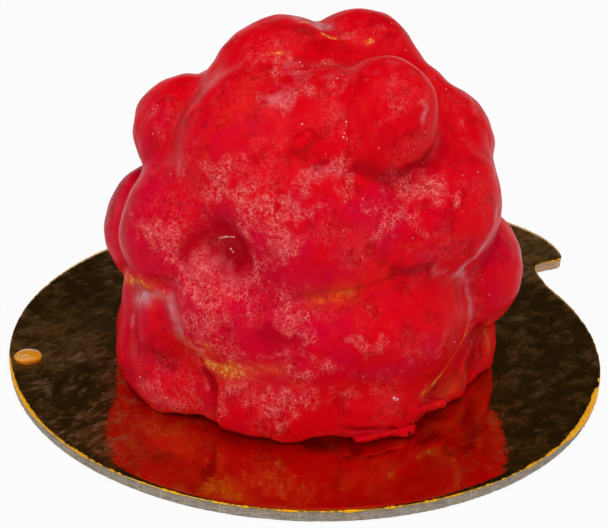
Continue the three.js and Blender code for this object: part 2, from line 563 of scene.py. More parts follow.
@dataclass(frozen=True)
class CrystalGlintFinish(Finish):
    """Tiny wet sugar beads: pink to white, glossy; the set ones are painted glints."""

    name: str = "sugar crystals"
    # Painted highlight: the white share makes the set beads read as glints.
    white: Colour = (0.88, 0.42, 0.42)
    pink: Colour = (0.80, 0.10, 0.11)
    clouds: Pattern = Pattern(2400)

    def fill(self, bench: NodeBench, place: Socket) -> Socket:
        """Adds the crystals' nodes.

        Args:
            bench: The material's bench.
            place: The object position's socket.

        Returns:
            The shader's socket.
        """
        cloud = self.clouds.over(bench, place)
        inputs = {
            "Base Color": bench.blend(cloud.rise(0.42, 0.58), self.pink, self.white),
            "Roughness": cloud.rise(0.3, 0.7, 0.16, 0.32),
            "Coat Weight": 0.5,
            "Coat Roughness": 0.05,
        }
        return bench.node("ShaderNodeBsdfPrincipled", None, inputs).outputs["BSDF"]


@dataclass(frozen=True)
class CardFinish(Finish):
    """Grey-beige board card: plies along its cut side, fine upright saw ticks, pale fibres."""

    name: str = "grey card"
    light: Colour = (0.46, 0.39, 0.30)
    dark: Colour = (0.22, 0.18, 0.135)
    pale: Colour = (0.62, 0.55, 0.46)
    tinged: Colour = (0.66, 0.40, 0.22)
    tinge: Triple = (0.0358, 0.0262, 0.001)
    tinge_reach: float = 0.0075
    ply_squeeze: Triple = (1.0, 1.0, 7.0)
    tick_stretch: Triple = (1.0, 1.0, 0.10)
    ply_bands: Pattern = Pattern(900, 4, 0.6)
    pulp_grain: Pattern = Pattern(2600, 3, 0.65)
    saw_ticks: Pattern = Pattern(4200, 3, 0.6)

    def fill(self, bench: NodeBench, place: Socket) -> Socket:
        """Adds the card's nodes.

        Args:
            bench: The material's bench.
            place: The object position's socket.

        Returns:
            The shader's socket.
        """
        plies = self.ply_bands.over(bench, bench.vector("MULTIPLY", place, self.ply_squeeze))
        pulp = self.pulp_grain.over(bench, place)
        ticks = self.saw_ticks.over(bench, bench.vector("MULTIPLY", place, self.tick_stretch))
        colour = bench.blend(plies.rise(0.3, 0.7), self.dark, self.light)
        colour = bench.blend(ticks.rise(0.54, 0.68, 0.0, 0.40), colour, self.pale)
        colour = bench.blend(ticks.rise(0.34, 0.46, 0.35, 0.0), colour, self.dark)
        colour = bench.blend(pulp.rise(0.55, 0.8, 0.0, 0.4), colour, self.dark)
        tinge = bench.near(place, self.tinge, self.tinge_reach) * plies.rise(0.3, 0.6, 0.4, 0.9)
        colour = bench.blend(tinge, colour, self.tinged)
        inputs = {
            "Base Color": colour,
            "Roughness": pulp.rise(0.2, 0.8, 0.82, 0.95),
            "Normal": bench.bump(plies + pulp + ticks, 0.00006, 0.8),
        }
        return bench.node("ShaderNodeBsdfPrincipled", None, inputs).outputs["BSDF"]


@dataclass(frozen=True)
class FilmFinish(Finish):
    """Metallised gold film: a mirror with a faint orange-peel skin, scuffs that catch the light, and a
    rolled rim whose bright gold band is partly a painted highlight.
    """

    name: str = "gold film"
    gold: Colour = (0.68, 0.36, 0.045)
    # edge and dull_edge colour the rim's painted highlight; edge is also the burrs' mirror colour.
    edge: Colour = (1.0, 0.50, 0.008)
    dull_edge: Colour = (0.84, 0.36, 0.012)
    worn: Colour = (0.62, 0.42, 0.22)
    brown: Colour = (0.72, 0.33, 0.06)
    scuffed: Triple = (-0.0290, -0.0170, 0.0017)
    scuff_reach: float = 0.020
    tarnished: tuple[tuple[float, float, float, float], ...] = (
        (-0.0190, -0.0265, 0.0100, 0.9), (0.0310, 0.0320, 0.0150, 2.2), (-0.0325, 0.0005, 0.0100, 1.1),
    )
    clean: Triple = (0.0010, -0.0260, 0.0017)
    clean_reach: float = 0.0290
    drop: Triple = (-0.0372, -0.0057, 0.0017)
    smear_reach: float = 0.0055
    smear_strength: float = 2.4
    long_way: float = -0.85
    long_stretch: Triple = (0.55, 1.0, 1.0)
    fine_streaks: Pattern = Pattern(800, 5, 0.66, 420, 0.0012)
    wide_clouds: Pattern = Pattern(95, 4, 0.6, 120, 0.006)
    broad_patches: Pattern = Pattern(300, 4, 0.62, 240, 0.003)
    mottling: Pattern = Pattern(620, 5, 0.66, 300, 0.0012)
    speckling: Pattern = Pattern(3200)
    orange_peel: Pattern = Pattern(1100)
    waviness: Pattern = Pattern(260)

    def fill(self, bench: NodeBench, place: Socket) -> Socket:
        """Adds the film's nodes.

        Args:
            bench: The material's bench.
            place: The object position's socket.

        Returns:
            The shader's socket.
        """
        turned = bench.node("ShaderNodeMapping", None, {"Vector": place, "Rotation": (0, 0, self.long_way)})
        drawn = bench.vector("MULTIPLY", turned.outputs["Vector"], self.long_stretch)
        streaks = self.fine_streaks.over(bench, drawn)
        clouds = self.wide_clouds.over(bench, place)
        broad = self.broad_patches.over(bench, place)
        mottle = self.mottling.over(bench, drawn)
        speckle = self.speckling.over(bench, place)
        peel = self.orange_peel.over(bench, place)
        wave = self.waviness.over(bench, place)
        near_scuff = bench.near(place, self.scuffed, self.scuff_reach)
        patches = (clouds * 0.4 + broad * 0.6 + near_scuff * 0.16).rise(0.50, 0.68)
        scuffs = streaks.rise(0.44, 0.72) * patches
        tarnish = bench.near(place, self.drop, self.smear_reach) * self.smear_strength
        for x, y, reach, strength in self.tarnished:
            tarnish = tarnish.larger(bench.near(place, (x, y, self.drop[2]), reach) * strength)
        brown = (mottle * 0.55 + broad * 0.45).rise(0.45, 0.66, 0.0, 0.42)
        soiled = bench.near(place, self.clean, self.clean_reach) * -0.7 + 1.0
        # Painted highlight: along the rolled rim the colour turns bright gold and the metal is cut back, so
        # the rim shines as a band beyond its mirror.
        rim = (bench.attribute("rim") + speckle * 0.75).rise(0.84, 1.04)
        edge = bench.blend(speckle.rise(0.42, 0.58), self.dull_edge, self.edge)
        colour = bench.blend(scuffs, self.brown, self.worn)
        colour = bench.blend(rim, colour, edge)
        normal = bench.bump(peel * 0.5 + wave + streaks * 0.25, 0.00007, 0.5)
        mirror = {"Base Color": self.gold, "Metallic": 1.0, "Roughness": 0.06, "Normal": normal}
        dull = {
            "Base Color": colour,
            "Metallic": rim * -0.65 + 1.0,
            "Roughness": 0.40,
            "Specular IOR Level": 0.0,
            "Normal": normal,
        }
        share = (scuffs.larger(brown) + tarnish * mottle.rise(0.34, 0.62, 0.07, 0.23)) * soiled
        sides = {
            0: share.larger(rim),
            1: bench.node("ShaderNodeBsdfPrincipled", None, mirror).outputs["BSDF"],
            2: bench.node("ShaderNodeBsdfPrincipled", None, dull).outputs["BSDF"],
        }
        return bench.node("ShaderNodeMixShader", None, sides).outputs["Shader"]


@dataclass(frozen=True)
class SyrupFinish(Finish):
    """Amber syrup that has set: clouded on top, clear and darker low down."""

    name: str = "amber syrup"
    amber: Colour = (0.72, 0.29, 0.010)
    cloudy: Colour = (0.62, 0.46, 0.23)
    clouds: Pattern = Pattern(1100, 3, 0.6)

    def fill(self, bench: NodeBench, place: Socket) -> Socket:
        """Adds the syrup's nodes.

        Args:
            bench: The material's bench.
            place: The object position's socket.

        Returns:
            The shader's socket.
        """
        cloud = self.clouds.over(bench, place)
        cloudy = (bench.attribute("cloudy") + cloud * 0.8 - 0.4).rise(0.2, 0.9)
        inputs = {
            "Base Color": bench.blend(cloudy, self.amber, self.cloudy),
            "Roughness": cloudy * 0.2 + 0.14,
            "Coat Weight": 0.10,
            "Coat Roughness": 0.08,
            "Specular IOR Level": 0.2,
            "Subsurface Weight": 0.15,
            "Subsurface Radius": (1.0, 0.6, 0.12),
            "Subsurface Scale": 0.001,
            "Normal": bench.bump(cloud, 0.00004, 0.6),
        }
        return bench.node("ShaderNodeBsdfPrincipled", None, inputs).outputs["BSDF"]


@dataclass(frozen=True)
class FloorFinish(Finish):
    """Plain white floor that keeps the object's shadow."""

    name: str = "white floor"
    paint: Colour = (0.90, 0.90, 0.90)
    glow: float = 0.9

    def fill(self, bench: NodeBench, place: Socket) -> Socket:
        """Adds the floor's nodes: rays that see it find it nearly white.

        Args:
            bench: The material's bench.
            place: The object position's socket; not used.

        Returns:
            The shader's socket.
        """
        rays = bench.node("ShaderNodeLightPath").outputs
        seen = bench.signal(rays["Is Camera Ray"]) + rays["Is Glossy Ray"] + rays["Is Transmission Ray"]
        paint = bench.node("ShaderNodeBsdfDiffuse", None, {"Color": self.paint}).outputs["BSDF"]
        white = bench.node("ShaderNodeEmission", None, {"Strength": 1.0}).outputs["Emission"]
        sides = {0: seen * self.glow, 1: paint, 2: white}
        return bench.node("ShaderNodeMixShader", None, sides).outputs["Shader"]


# ---- Meshes ----


class Workshop:
    """Makes meshes and hands finished pieces to the frame."""

    def __init__(self) -> None:
        """Starts with no pieces."""
        self.pieces: list[str] = []

    def mesh(self, name: str, points: Array, faces: list, material: Material) -> Piece:
        """Makes a smooth mesh object at the origin.

        Args:
            name: The object's name.
            points: Its points, in millimetres.
            faces: Each face's point numbers.
            material: Its material.

        Returns:
            The object.
        """
        mesh = bpy.data.meshes.new(name)
        mesh.from_pydata((np.asarray(points) * MM).tolist(), [], [list(face) for face in faces])
        mesh.validate()
        mesh.shade_smooth()
        mesh.materials.append(material)
        piece = bpy.data.objects.new(name, mesh)
        bpy.context.scene.collection.objects.link(piece)
        return piece

    def paint(self, piece: Piece, name: str, values: Array) -> None:
        """Paints a number on each of a piece's points.

        Args:
            piece: The piece.
            name: The attribute's name.
            values: One number for each point.
        """
        attribute = piece.data.attributes.new(name, "FLOAT", "POINT")
        attribute.data.foreach_set("value", np.asarray(values, np.float32))

    def finished(self, piece: Piece, slot: Slot, *replaced: str) -> None:
        """Lets a finished piece ride on the body.

        Args:
            piece: The piece.
            slot: The record's slot; not used.
            *replaced: The CAD nodes it stands for.
        """
        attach(piece, BODY)
        if replaced:
            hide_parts(*replaced)
        self.pieces.append(piece.name)
        LOG.info("%s: %d faces", piece.name, len(piece.data.polygons))


def polar(azimuth: float, reach: float, height: float = 0.0) -> Array:
    """A point from its azimuth in degrees, its distance from the axis and its height."""
    angle = math.radians(azimuth)
    return np.array([reach * math.cos(angle), reach * math.sin(angle), height])


def soft_minimum(first: Array, second: Array, blend: float) -> Array:
    """The smaller of two distances, with the crease between them rounded over the blend's width."""
    share = np.clip(0.5 + 0.5 * (second - first) / blend, 0, 1)
    return second * (1 - share) + first * share - blend * share * (1 - share)


@dataclass(frozen=True)
class Lobe:
    """One round lobe of the cake, in millimetres and degrees."""

    azimuth: float
    reach: float
    height: float
    radius: float
    blend: float = 1.0
    stretch: Triple = (1.0, 1.0, 1.0)

    def distance(self, points: Array) -> Array:
        """Distance to the lobe's surface, below zero inside.

        Args:
            points: Points, one to a row.

        Returns:
            One distance for each point.
        """
        centre = polar(self.azimuth, self.reach, self.height)
        facing = polar(self.azimuth, 1)
        away = points - centre
        outward, around, upward = self.stretch
        local = np.stack([
            (away[:, 0] * facing[0] + away[:, 1] * facing[1]) / outward,
            (away[:, 1] * facing[0] - away[:, 0] * facing[1]) / around,
            away[:, 2] / upward,
        ])
        span = np.sqrt((local ** 2).sum(0))
        steepness = np.sqrt(((local / np.array(self.stretch)[:, None]) ** 2).sum(0)) + TINY
        return (span - self.radius) * span / steepness


@dataclass(frozen=True)
class Slab:
    """A flat torn-off piece of glaze with rounded edges, in millimetres and degrees."""

    azimuth: float
    reach: float
    height: float
    half: Triple
    edge: float
    blend: float = 0.2
    turn: float = 0.0

    def distance(self, points: Array) -> Array:
        """Distance to the slab's surface, below zero inside.

        Args:
            points: Points, one to a row.

        Returns:
            One distance for each point.
        """
        away = points - polar(self.azimuth, self.reach, self.height)
        facing = polar(self.azimuth + self.turn, 1)
        local = np.stack([
            away[:, 0] * facing[0] + away[:, 1] * facing[1],
            away[:, 1] * facing[0] - away[:, 0] * facing[1],
            away[:, 2],
        ], 1)
        past = np.abs(local) - (np.array(self.half) - self.edge)
        outside = np.sqrt((np.maximum(past, 0) ** 2).sum(1))
        return outside + np.minimum(past.max(1), 0) - self.edge


def path_gap(points: Array, route: Array) -> Array:
    """Distance to a path of straight stretches.

    Args:
        points: Points, one to a row.
        route: The path's corners, or its only point.

    Returns:
        One distance for each point.
    """
    if len(route) == 1:
        return np.sqrt(((points - route[0]) ** 2).sum(1))
    nearest = np.full(len(points), np.inf)
    for start, end in zip(route, route[1:]):
        along = end - start
        share = np.clip((points - start) @ along / (along @ along), 0, 1)
        gap = points - start - share[:, None] * along
        nearest = np.minimum(nearest, np.sqrt((gap ** 2).sum(1)))
    return nearest


@dataclass(frozen=True)
class Seam:
    """A groove or a raised thread along the skin, through marks given as azimuth, reach and height."""

    marks: tuple[Triple, ...]
    radius: float
    lift: float
    blend: float
    raised: bool = False


class SkinField:
    """The distance to the cake's skin: lobes joined softly, pits and grooves taken out, threads laid on."""

    near = 0.05
    probes = np.array([(1, -1, -1), (-1, -1, 1), (-1, 1, -1), (1, 1, 1)], float)

    def __init__(self, lobes: list[Lobe], pits: list[Lobe], seams: list[Seam], foot: "Foot") -> None:
        """Joins the lobes.

        Args:
            lobes: The lobes, in the order in which they join.
            pits: The hollows.
            seams: The grooves and threads.
            foot: The flat foot.
        """
        self.lobes = lobes
        self.pits = pits
        self.foot = foot
        self.seams: list[tuple[Seam, Array]] = []
        for seam in seams:
            marks = self.onto_skin(np.array([polar(*mark) for mark in seam.marks]))
            route = marks + self.normals(marks) * seam.lift
            self.seams.append((seam, route))

    def distance(self, points: Array) -> Array:
        """Distance to the skin, below zero inside the cake.

        Args:
            points: Points, one to a row, in millimetres.

        Returns:
            One distance for each point.
        """
        reached = self.lobes[0].distance(points)
        for lobe in self.lobes[1:]:
            reached = soft_minimum(reached, lobe.distance(points), lobe.blend)
        for pit in self.pits:
            reached = -soft_minimum(-reached, pit.distance(points), pit.blend)
        for seam, route in self.seams:
            thread = path_gap(points, route) - seam.radius
            if seam.raised:
                reached = soft_minimum(reached, thread, seam.blend)
            else:
                reached = -soft_minimum(-reached, thread, seam.blend)
        reached = reached + self.foot.tuck(points)
        return -soft_minimum(-reached, points[:, 2] - self.foot.height, self.foot.rounding)

    def _felt(self, points: Array) -> tuple[Array, Array]:
        """Feels the field round each point.

        Args:
            points: Points, one to a row.

        Returns:
            The distance at each point, and the unit vector away from the skin there.
        """
        around = np.stack([self.distance(points + step) for step in self.probes * self.near])
        slope = np.einsum("kn,kj->nj", around, self.probes)
        return around.mean(0), slope / (np.linalg.norm(slope, axis=1, keepdims=True) + TINIEST)

    def normals(self, points: Array) -> Array:
        """The unit vector away from the skin at each point."""
        return self._felt(points)[1]

    def onto_skin(self, points: Array, rounds: int = 6, stride: float = 3.0) -> Array:
        """Moves points to the skin.

        Args:
            points: Points near it, one to a row.
            rounds: How many times each is moved.
            stride: The most that one move may be.

        Returns:
            The points on the skin.
        """
        for _ in range(rounds):
            gap, away = self._felt(points)
            points = points - away * np.clip(gap, -stride, stride)[:, None]
        return points

    def hollow(self, points: Array, normals: Array, probe: float) -> Array:
        """How deep in a crease each point of the skin lies.

        Args:
            points: Points on the skin.
            normals: Its normals there.
            probe: How far off the skin the space is felt.

        Returns:
            0 in the open, up to 1 in a tight crease.
        """
        room = self.distance(points + normals * probe) / probe
        return np.clip(1 - room, 0, 1)


@dataclass(frozen=True)
class Foot:
    """The cake's flat foot, and how far its edge is tucked in under it, in millimetres and degrees."""

    height: float = 1.7
    rounding: float = 0.5
    lip: float = 1.5
    tucks: Pairs = (
        (-180, 0.8), (-152, 1.2), (-140, 1.7), (-118, 1.5), (-106, 0.8), (-94, 1.1), (-86, 1.7), (-79, 0.6),
        (-60, 0.5), (-52, 1.6), (-43, 1.2), (-30, 0.8), (30, 1.3), (75, 0.7), (120, 1.5), (160, 0.8),
        (180, 0.8),
    )

    def tuck(self, points: Array) -> Array:
        """How much the skin is drawn in at each point.

        Args:
            points: Points, one to a row.

        Returns:
            One width for each point, 0 above the lip.
        """
        share = np.clip(1 - (points[:, 2] - self.height) / self.lip, 0, 1)
        turn = np.degrees(np.arctan2(points[:, 1], points[:, 0]))
        azimuths, depths = zip(*self.tucks)
        return np.interp(turn, azimuths, depths) * share ** 2


@dataclass(frozen=True)
class SkinNet:
    """Wraps a distance field in a net of four-sided faces."""

    step: float = 0.40
    coarse: int = 4
    band: float = 1.7

    def wrap(self, skin: SkinField, low: Array, high: Array) -> tuple[Array, Array]:
        """Makes the net.

        Args:
            skin: The field.
            low: The lowest corner of the space that holds the skin.
            high: The highest.

        Returns:
            The net's points, and four point numbers for each face, facing out.
        """
        size = np.ceil((high - low) / (self.step * self.coarse)).astype(int) * self.coarse
        values = self._sample(skin, low, size)
        cells, places, corners = [], [], []
        for axis in range(3):
            across, beyond = (axis + 1) % 3, (axis + 2) % 3
            first = np.take(values, np.arange(size[axis] - 1), axis)
            second = np.take(values, np.arange(1, size[axis]), axis)
            cut = np.argwhere((first < 0) != (second < 0))
            start, end = first[tuple(cut.T)], second[tuple(cut.T)]
            place = cut.astype(float)
            place[:, axis] += start / (start - end)
            around = []
            for turn, rise in ((-1, -1), (0, -1), (0, 0), (-1, 0)):
                cell = cut.copy()
                cell[:, across] += turn
                cell[:, beyond] += rise
                around.append(np.ravel_multi_index(tuple(cell.T), tuple(size)))
            ring = np.stack(around, 1)
            corners.append(np.where((start < 0)[:, None], ring, ring[:, ::-1]))
            cells.append(ring.ravel())
            places.append(np.repeat(place, 4, 0))
        used, number = np.unique(np.concatenate(cells), return_inverse=True)
        count = np.bincount(number)
        place = np.concatenate(places)
        middle = np.stack([np.bincount(number, place[:, axis]) / count for axis in range(3)], 1)
        faces = np.searchsorted(used, np.concatenate(corners))
        return low + middle * self.step, faces

    def _sample(self, skin: SkinField, low: Array, size: Array) -> Array:
        """Fills a grid with the field, finely only near the skin.

        Args:
            skin: The field.
            low: The grid's lowest corner.
            size: Its points along each axis.

        Returns:
            The field's values on the grid.
        """
        middle = (self.coarse - 1) / 2
        rough_axes = [np.arange(0, count, self.coarse) + middle for count in size]
        rough = np.stack(np.meshgrid(*rough_axes, indexing="ij"), -1)
        values = skin.distance(low + rough.reshape(-1, 3) * self.step).reshape(rough.shape[:3])
        for axis in range(3):
            values = np.repeat(values, self.coarse, axis)
        close = np.abs(values) < self.band
        fine = np.argwhere(close)
        values[close] = skin.distance(low + fine * self.step)
        return values


@dataclass(frozen=True)
class Ripple:
    """A smooth random swell over space: many plane waves of one length, drawn with a fixed seed."""

    wave: float
    height: float
    seed: int
    waves: int = 26
    spread: tuple[float, float] = (0.75, 1.35)

    def at(self, points: Array) -> Array:
        """The swell's height at each point.

        Args:
            points: Points, one to a row, in millimetres.

        Returns:
            One height for each point.
        """
        draw = np.random.default_rng(self.seed)
        total = np.zeros(len(points))
        for _ in range(self.waves):
            way = draw.normal(size=3)
            way *= 2 * math.pi / (self.wave * np.linalg.norm(way) * draw.uniform(*self.spread))
            total += np.sin(points @ way + draw.uniform(0, 2 * math.pi))
        return total * self.height / math.sqrt(self.waves / 2)


def line_offsets(
    points: Array, away: Array, routes: list[Array], farthest: float = 2.0
) -> tuple[Array, Array]:
    """Measures how far each point of a surface lies from the nearest of some lines drawn on it.

    Args:
        points: Points of the surface, one to a row.
        away: The unit vector out of the surface at each.
        routes: Each line's corners.
        farthest: The most that is measured, in millimetres.

    Returns:
        The offset to one side of the line, below zero on the other side, and the plain distance to it.
    """
    nearest = np.full(len(points), farthest)
    offset = np.full(len(points), farthest)
    for route in routes:
        for start, end in zip(route, route[1:]):
            along = end - start
            share = np.clip((points - start) @ along / (along @ along), 0, 1)
            gap = points - start - share[:, None] * along
            far = np.sqrt((gap ** 2).sum(1))
            side = np.cross(away, along / np.linalg.norm(along))
            closer = far < nearest
            offset = np.where(closer, (gap * side).sum(1), offset)
            nearest = np.where(closer, far, nearest)
    return offset, nearest


@dataclass(frozen=True)
class Touch:
    """A soft brush stroke on the skin, through marks given as azimuth, reach and height."""

    marks: tuple[Triple, ...]
    spread: float
    strength: float = 1.0

    def cover(self, points: Array) -> Array:
        """How much of the stroke each point has.

        Args:
            points: Points, one to a row.

        Returns:
            One number for each point, up to the strength.
        """
        gap = path_gap(points, np.array([polar(*mark) for mark in self.marks]))
        return self.strength * np.exp(-(gap / self.spread) ** 2)


def strayed(points: Array) -> Array:
    """How far a brush's edge strays at each point, as a vector of about a millimetre."""
    return np.stack([Ripple(5.0, 0.7, seed).at(points) + Ripple(2.2, 0.35, seed + 3).at(points)
                     for seed in (61, 62, 63)], 1)


def painted(points: Array, touches: tuple[Touch, ...]) -> Array:
    """The strongest of the strokes at each point."""
    return np.max([touch.cover(points) for touch in touches], axis=0)


def beads(marks: Array, away: Array, sizes: Array, seed: int) -> tuple[Array, list]:
    """Makes small lumpy beads, flattened on the surface that they sit on.

    Args:
        marks: Where each sits, one to a row, in millimetres.
        away: The unit vector out of the surface at each.
        sizes: How wide each is.
        seed: The seed of their lumps.

    Returns:
        Points, and faces that face out.
    """
    lump_height, lump_waves, latest_start, flattening = 0.16, 5, 6, 0.35
    form = bmesh.new()
    bmesh.ops.create_icosphere(form, subdivisions=2, radius=0.5)
    ball = np.array([vertex.co[:] for vertex in form.verts])
    triangles = [[vertex.index for vertex in face.verts] for face in form.faces]
    form.free()
    draw = np.random.default_rng(seed)
    points, faces = [], []
    for number, (mark, out, size) in enumerate(zip(marks, away, sizes)):
        swell = np.sin(ball @ draw.normal(size=3) * lump_waves + draw.uniform(0, latest_start))
        bead = ball * (1 + lump_height * swell)[:, None] * size
        bead = bead - np.outer(bead @ out, out) * flattening
        points.append(mark + bead)
        faces += [[corner + number * len(ball) for corner in triangle] for triangle in triangles]
    return np.concatenate(points), faces


# ---- Grains that repeat over a surface ----


class Grain(Enum):
    """What is sown over a surface."""

    BEAD = "bead"
    FLAKE = "flake"
    FIBRE = "fibre"


@dataclass(frozen=True)
class Sowing:
    """Sows small grains over the faces of a piece, where its points are painted "sow"."""

    name: str
    grain: Grain
    seed: int
    to_the_square_cm: float
    smallest: Triple
    largest: Triple
    lean: float = 0.0

    def sow(self, ground: Piece, material: Material) -> Piece:
        """Makes the grains as one plain mesh.

        Args:
            ground: The piece they lie on.
            material: Their material.

        Returns:
            The grains.
        """
        tree = bpy.data.node_groups.new(f"{self.name} tree", "GeometryNodeTree")
        values = {
            "Density": self.to_the_square_cm * 1e4,
            "Smallest": Vector(self.smallest) * MM,
            "Largest": Vector(self.largest) * MM,
            "Lean": self.lean,
            "Seed": self.seed,
        }
        sockets = self._build(tree, material)
        copy = ground.copy()
        copy.name = f"{self.name} ground"
        bpy.context.scene.collection.objects.link(copy)
        modifier = copy.modifiers.new("sow", "NODES")
        modifier.node_group = tree
        for name, value in values.items():
            modifier[sockets[name]] = value
        bpy.context.view_layer.update()
        grown = copy.evaluated_get(bpy.context.evaluated_depsgraph_get())
        mesh = bpy.data.meshes.new_from_object(grown)
        mesh.name = self.name
        copy.modifiers.remove(modifier)
        bpy.data.objects.remove(copy)
        mesh.shade_smooth()
        mesh.materials.clear()
        mesh.materials.append(material)
        piece = bpy.data.objects.new(self.name, mesh)
        bpy.context.scene.collection.objects.link(piece)
        return piece

    def _build(self, tree: bpy.types.NodeTree, material: Material) -> dict[str, str]:
        """Builds the tree.

        Args:
            tree: An empty Geometry Nodes tree.
            material: The grains' material.

        Returns:
            Each input's socket identifier, by name.
        """
        bench = NodeBench(tree)
        kinds = {
            "Geometry": "NodeSocketGeometry",
            "Density": "NodeSocketFloat",
            "Smallest": "NodeSocketVector",
            "Largest": "NodeSocketVector",
            "Lean": "NodeSocketFloat",
            "Seed": "NodeSocketInt",
        }
        sockets = {}
        for name, kind in kinds.items():
            made = tree.interface.new_socket(name=name, in_out="INPUT", socket_type=kind)
            sockets[name] = made.identifier
        tree.interface.new_socket(name="Geometry", in_out="OUTPUT", socket_type="NodeSocketGeometry")
        given = bench.node("NodeGroupInput").outputs
        sown = bench.node("GeometryNodeInputNamedAttribute", {"data_type": "FLOAT"}, {"Name": "sow"})
        share = bench.signal(pick(sown.outputs, "Attribute"))
        density = share * given["Density"]
        spots = bench.node("GeometryNodeDistributePointsOnFaces", {"distribute_method": "RANDOM"},
                           {"Mesh": given["Geometry"], "Density": density, "Seed": given["Seed"]})
        sizes = bench.node("FunctionNodeRandomValue", {"data_type": "FLOAT_VECTOR"},
                           {"Min": given["Smallest"], "Max": given["Largest"], "Seed": given["Seed"]})
        lean = bench.signal(given["Lean"])
        leant = {"X": lean * -1, "Y": lean * -1, "Z": -math.pi}
        low = bench.node("ShaderNodeCombineXYZ", None, leant).outputs[0]
        high = bench.node("ShaderNodeCombineXYZ", None, {"X": lean, "Y": lean, "Z": math.pi}).outputs[0]
        turns = bench.node("FunctionNodeRandomValue", {"data_type": "FLOAT_VECTOR"},
                           {"Min": low, "Max": high, "Seed": bench.signal(given["Seed"]) + 1})
        turned = bench.node("FunctionNodeRotateRotation", {"rotation_space": "LOCAL"},
                            {"Rotation": spots.outputs["Rotation"], "Rotate By": turns.outputs["Value"]})
        placed = bench.node("GeometryNodeInstanceOnPoints", None, {
            "Points": spots.outputs["Points"],
            "Instance": self._grain(bench),
            "Rotation": turned.outputs["Rotation"],
            "Scale": sizes.outputs["Value"],
        })
        real = bench.node("GeometryNodeRealizeInstances", None, {"Geometry": placed.outputs["Instances"]})
        dressed = bench.node("GeometryNodeSetMaterial", None,
                             {"Geometry": real.outputs["Geometry"], "Material": material})
        bench.node("NodeGroupOutput", None, {"Geometry": dressed.outputs["Geometry"]})
        return sockets

    def _grain(self, bench: NodeBench) -> Socket:
        """Adds the nodes that make one grain, one metre long.

        Args:
            bench: The tree's bench.

        Returns:
            The grain's geometry.
        """
        if self.grain is Grain.BEAD:
            inputs = {"Radius": 0.5, "Subdivisions": 2}
            return bench.node("GeometryNodeMeshIcoSphere", None, inputs).outputs["Mesh"]
        if self.grain is Grain.FLAKE:
            inputs = {"Vertices": 5, "Radius": 0.5, "Depth": 1.0}
            return bench.node("GeometryNodeMeshCylinder", None, inputs).outputs["Mesh"]
        arc = bench.node("GeometryNodeCurveArc", {"mode": "RADIUS"},
                         {"Resolution": 6, "Radius": 0.6, "Sweep Angle": 1.6})
        ring = bench.node("GeometryNodeCurvePrimitiveCircle", None, {"Resolution": 4, "Radius": 0.04})
        inputs = {"Curve": arc.outputs["Curve"], "Profile Curve": ring.outputs["Curve"], "Fill Caps": True}
        tube = bench.node("GeometryNodeCurveToMesh", None, inputs).outputs["Mesh"]
        inputs = {"Geometry": tube, "Translation": (-0.6, 0, 0)}
        return bench.node("GeometryNodeTransform", None, inputs).outputs["Geometry"]


# ---- The cake ----


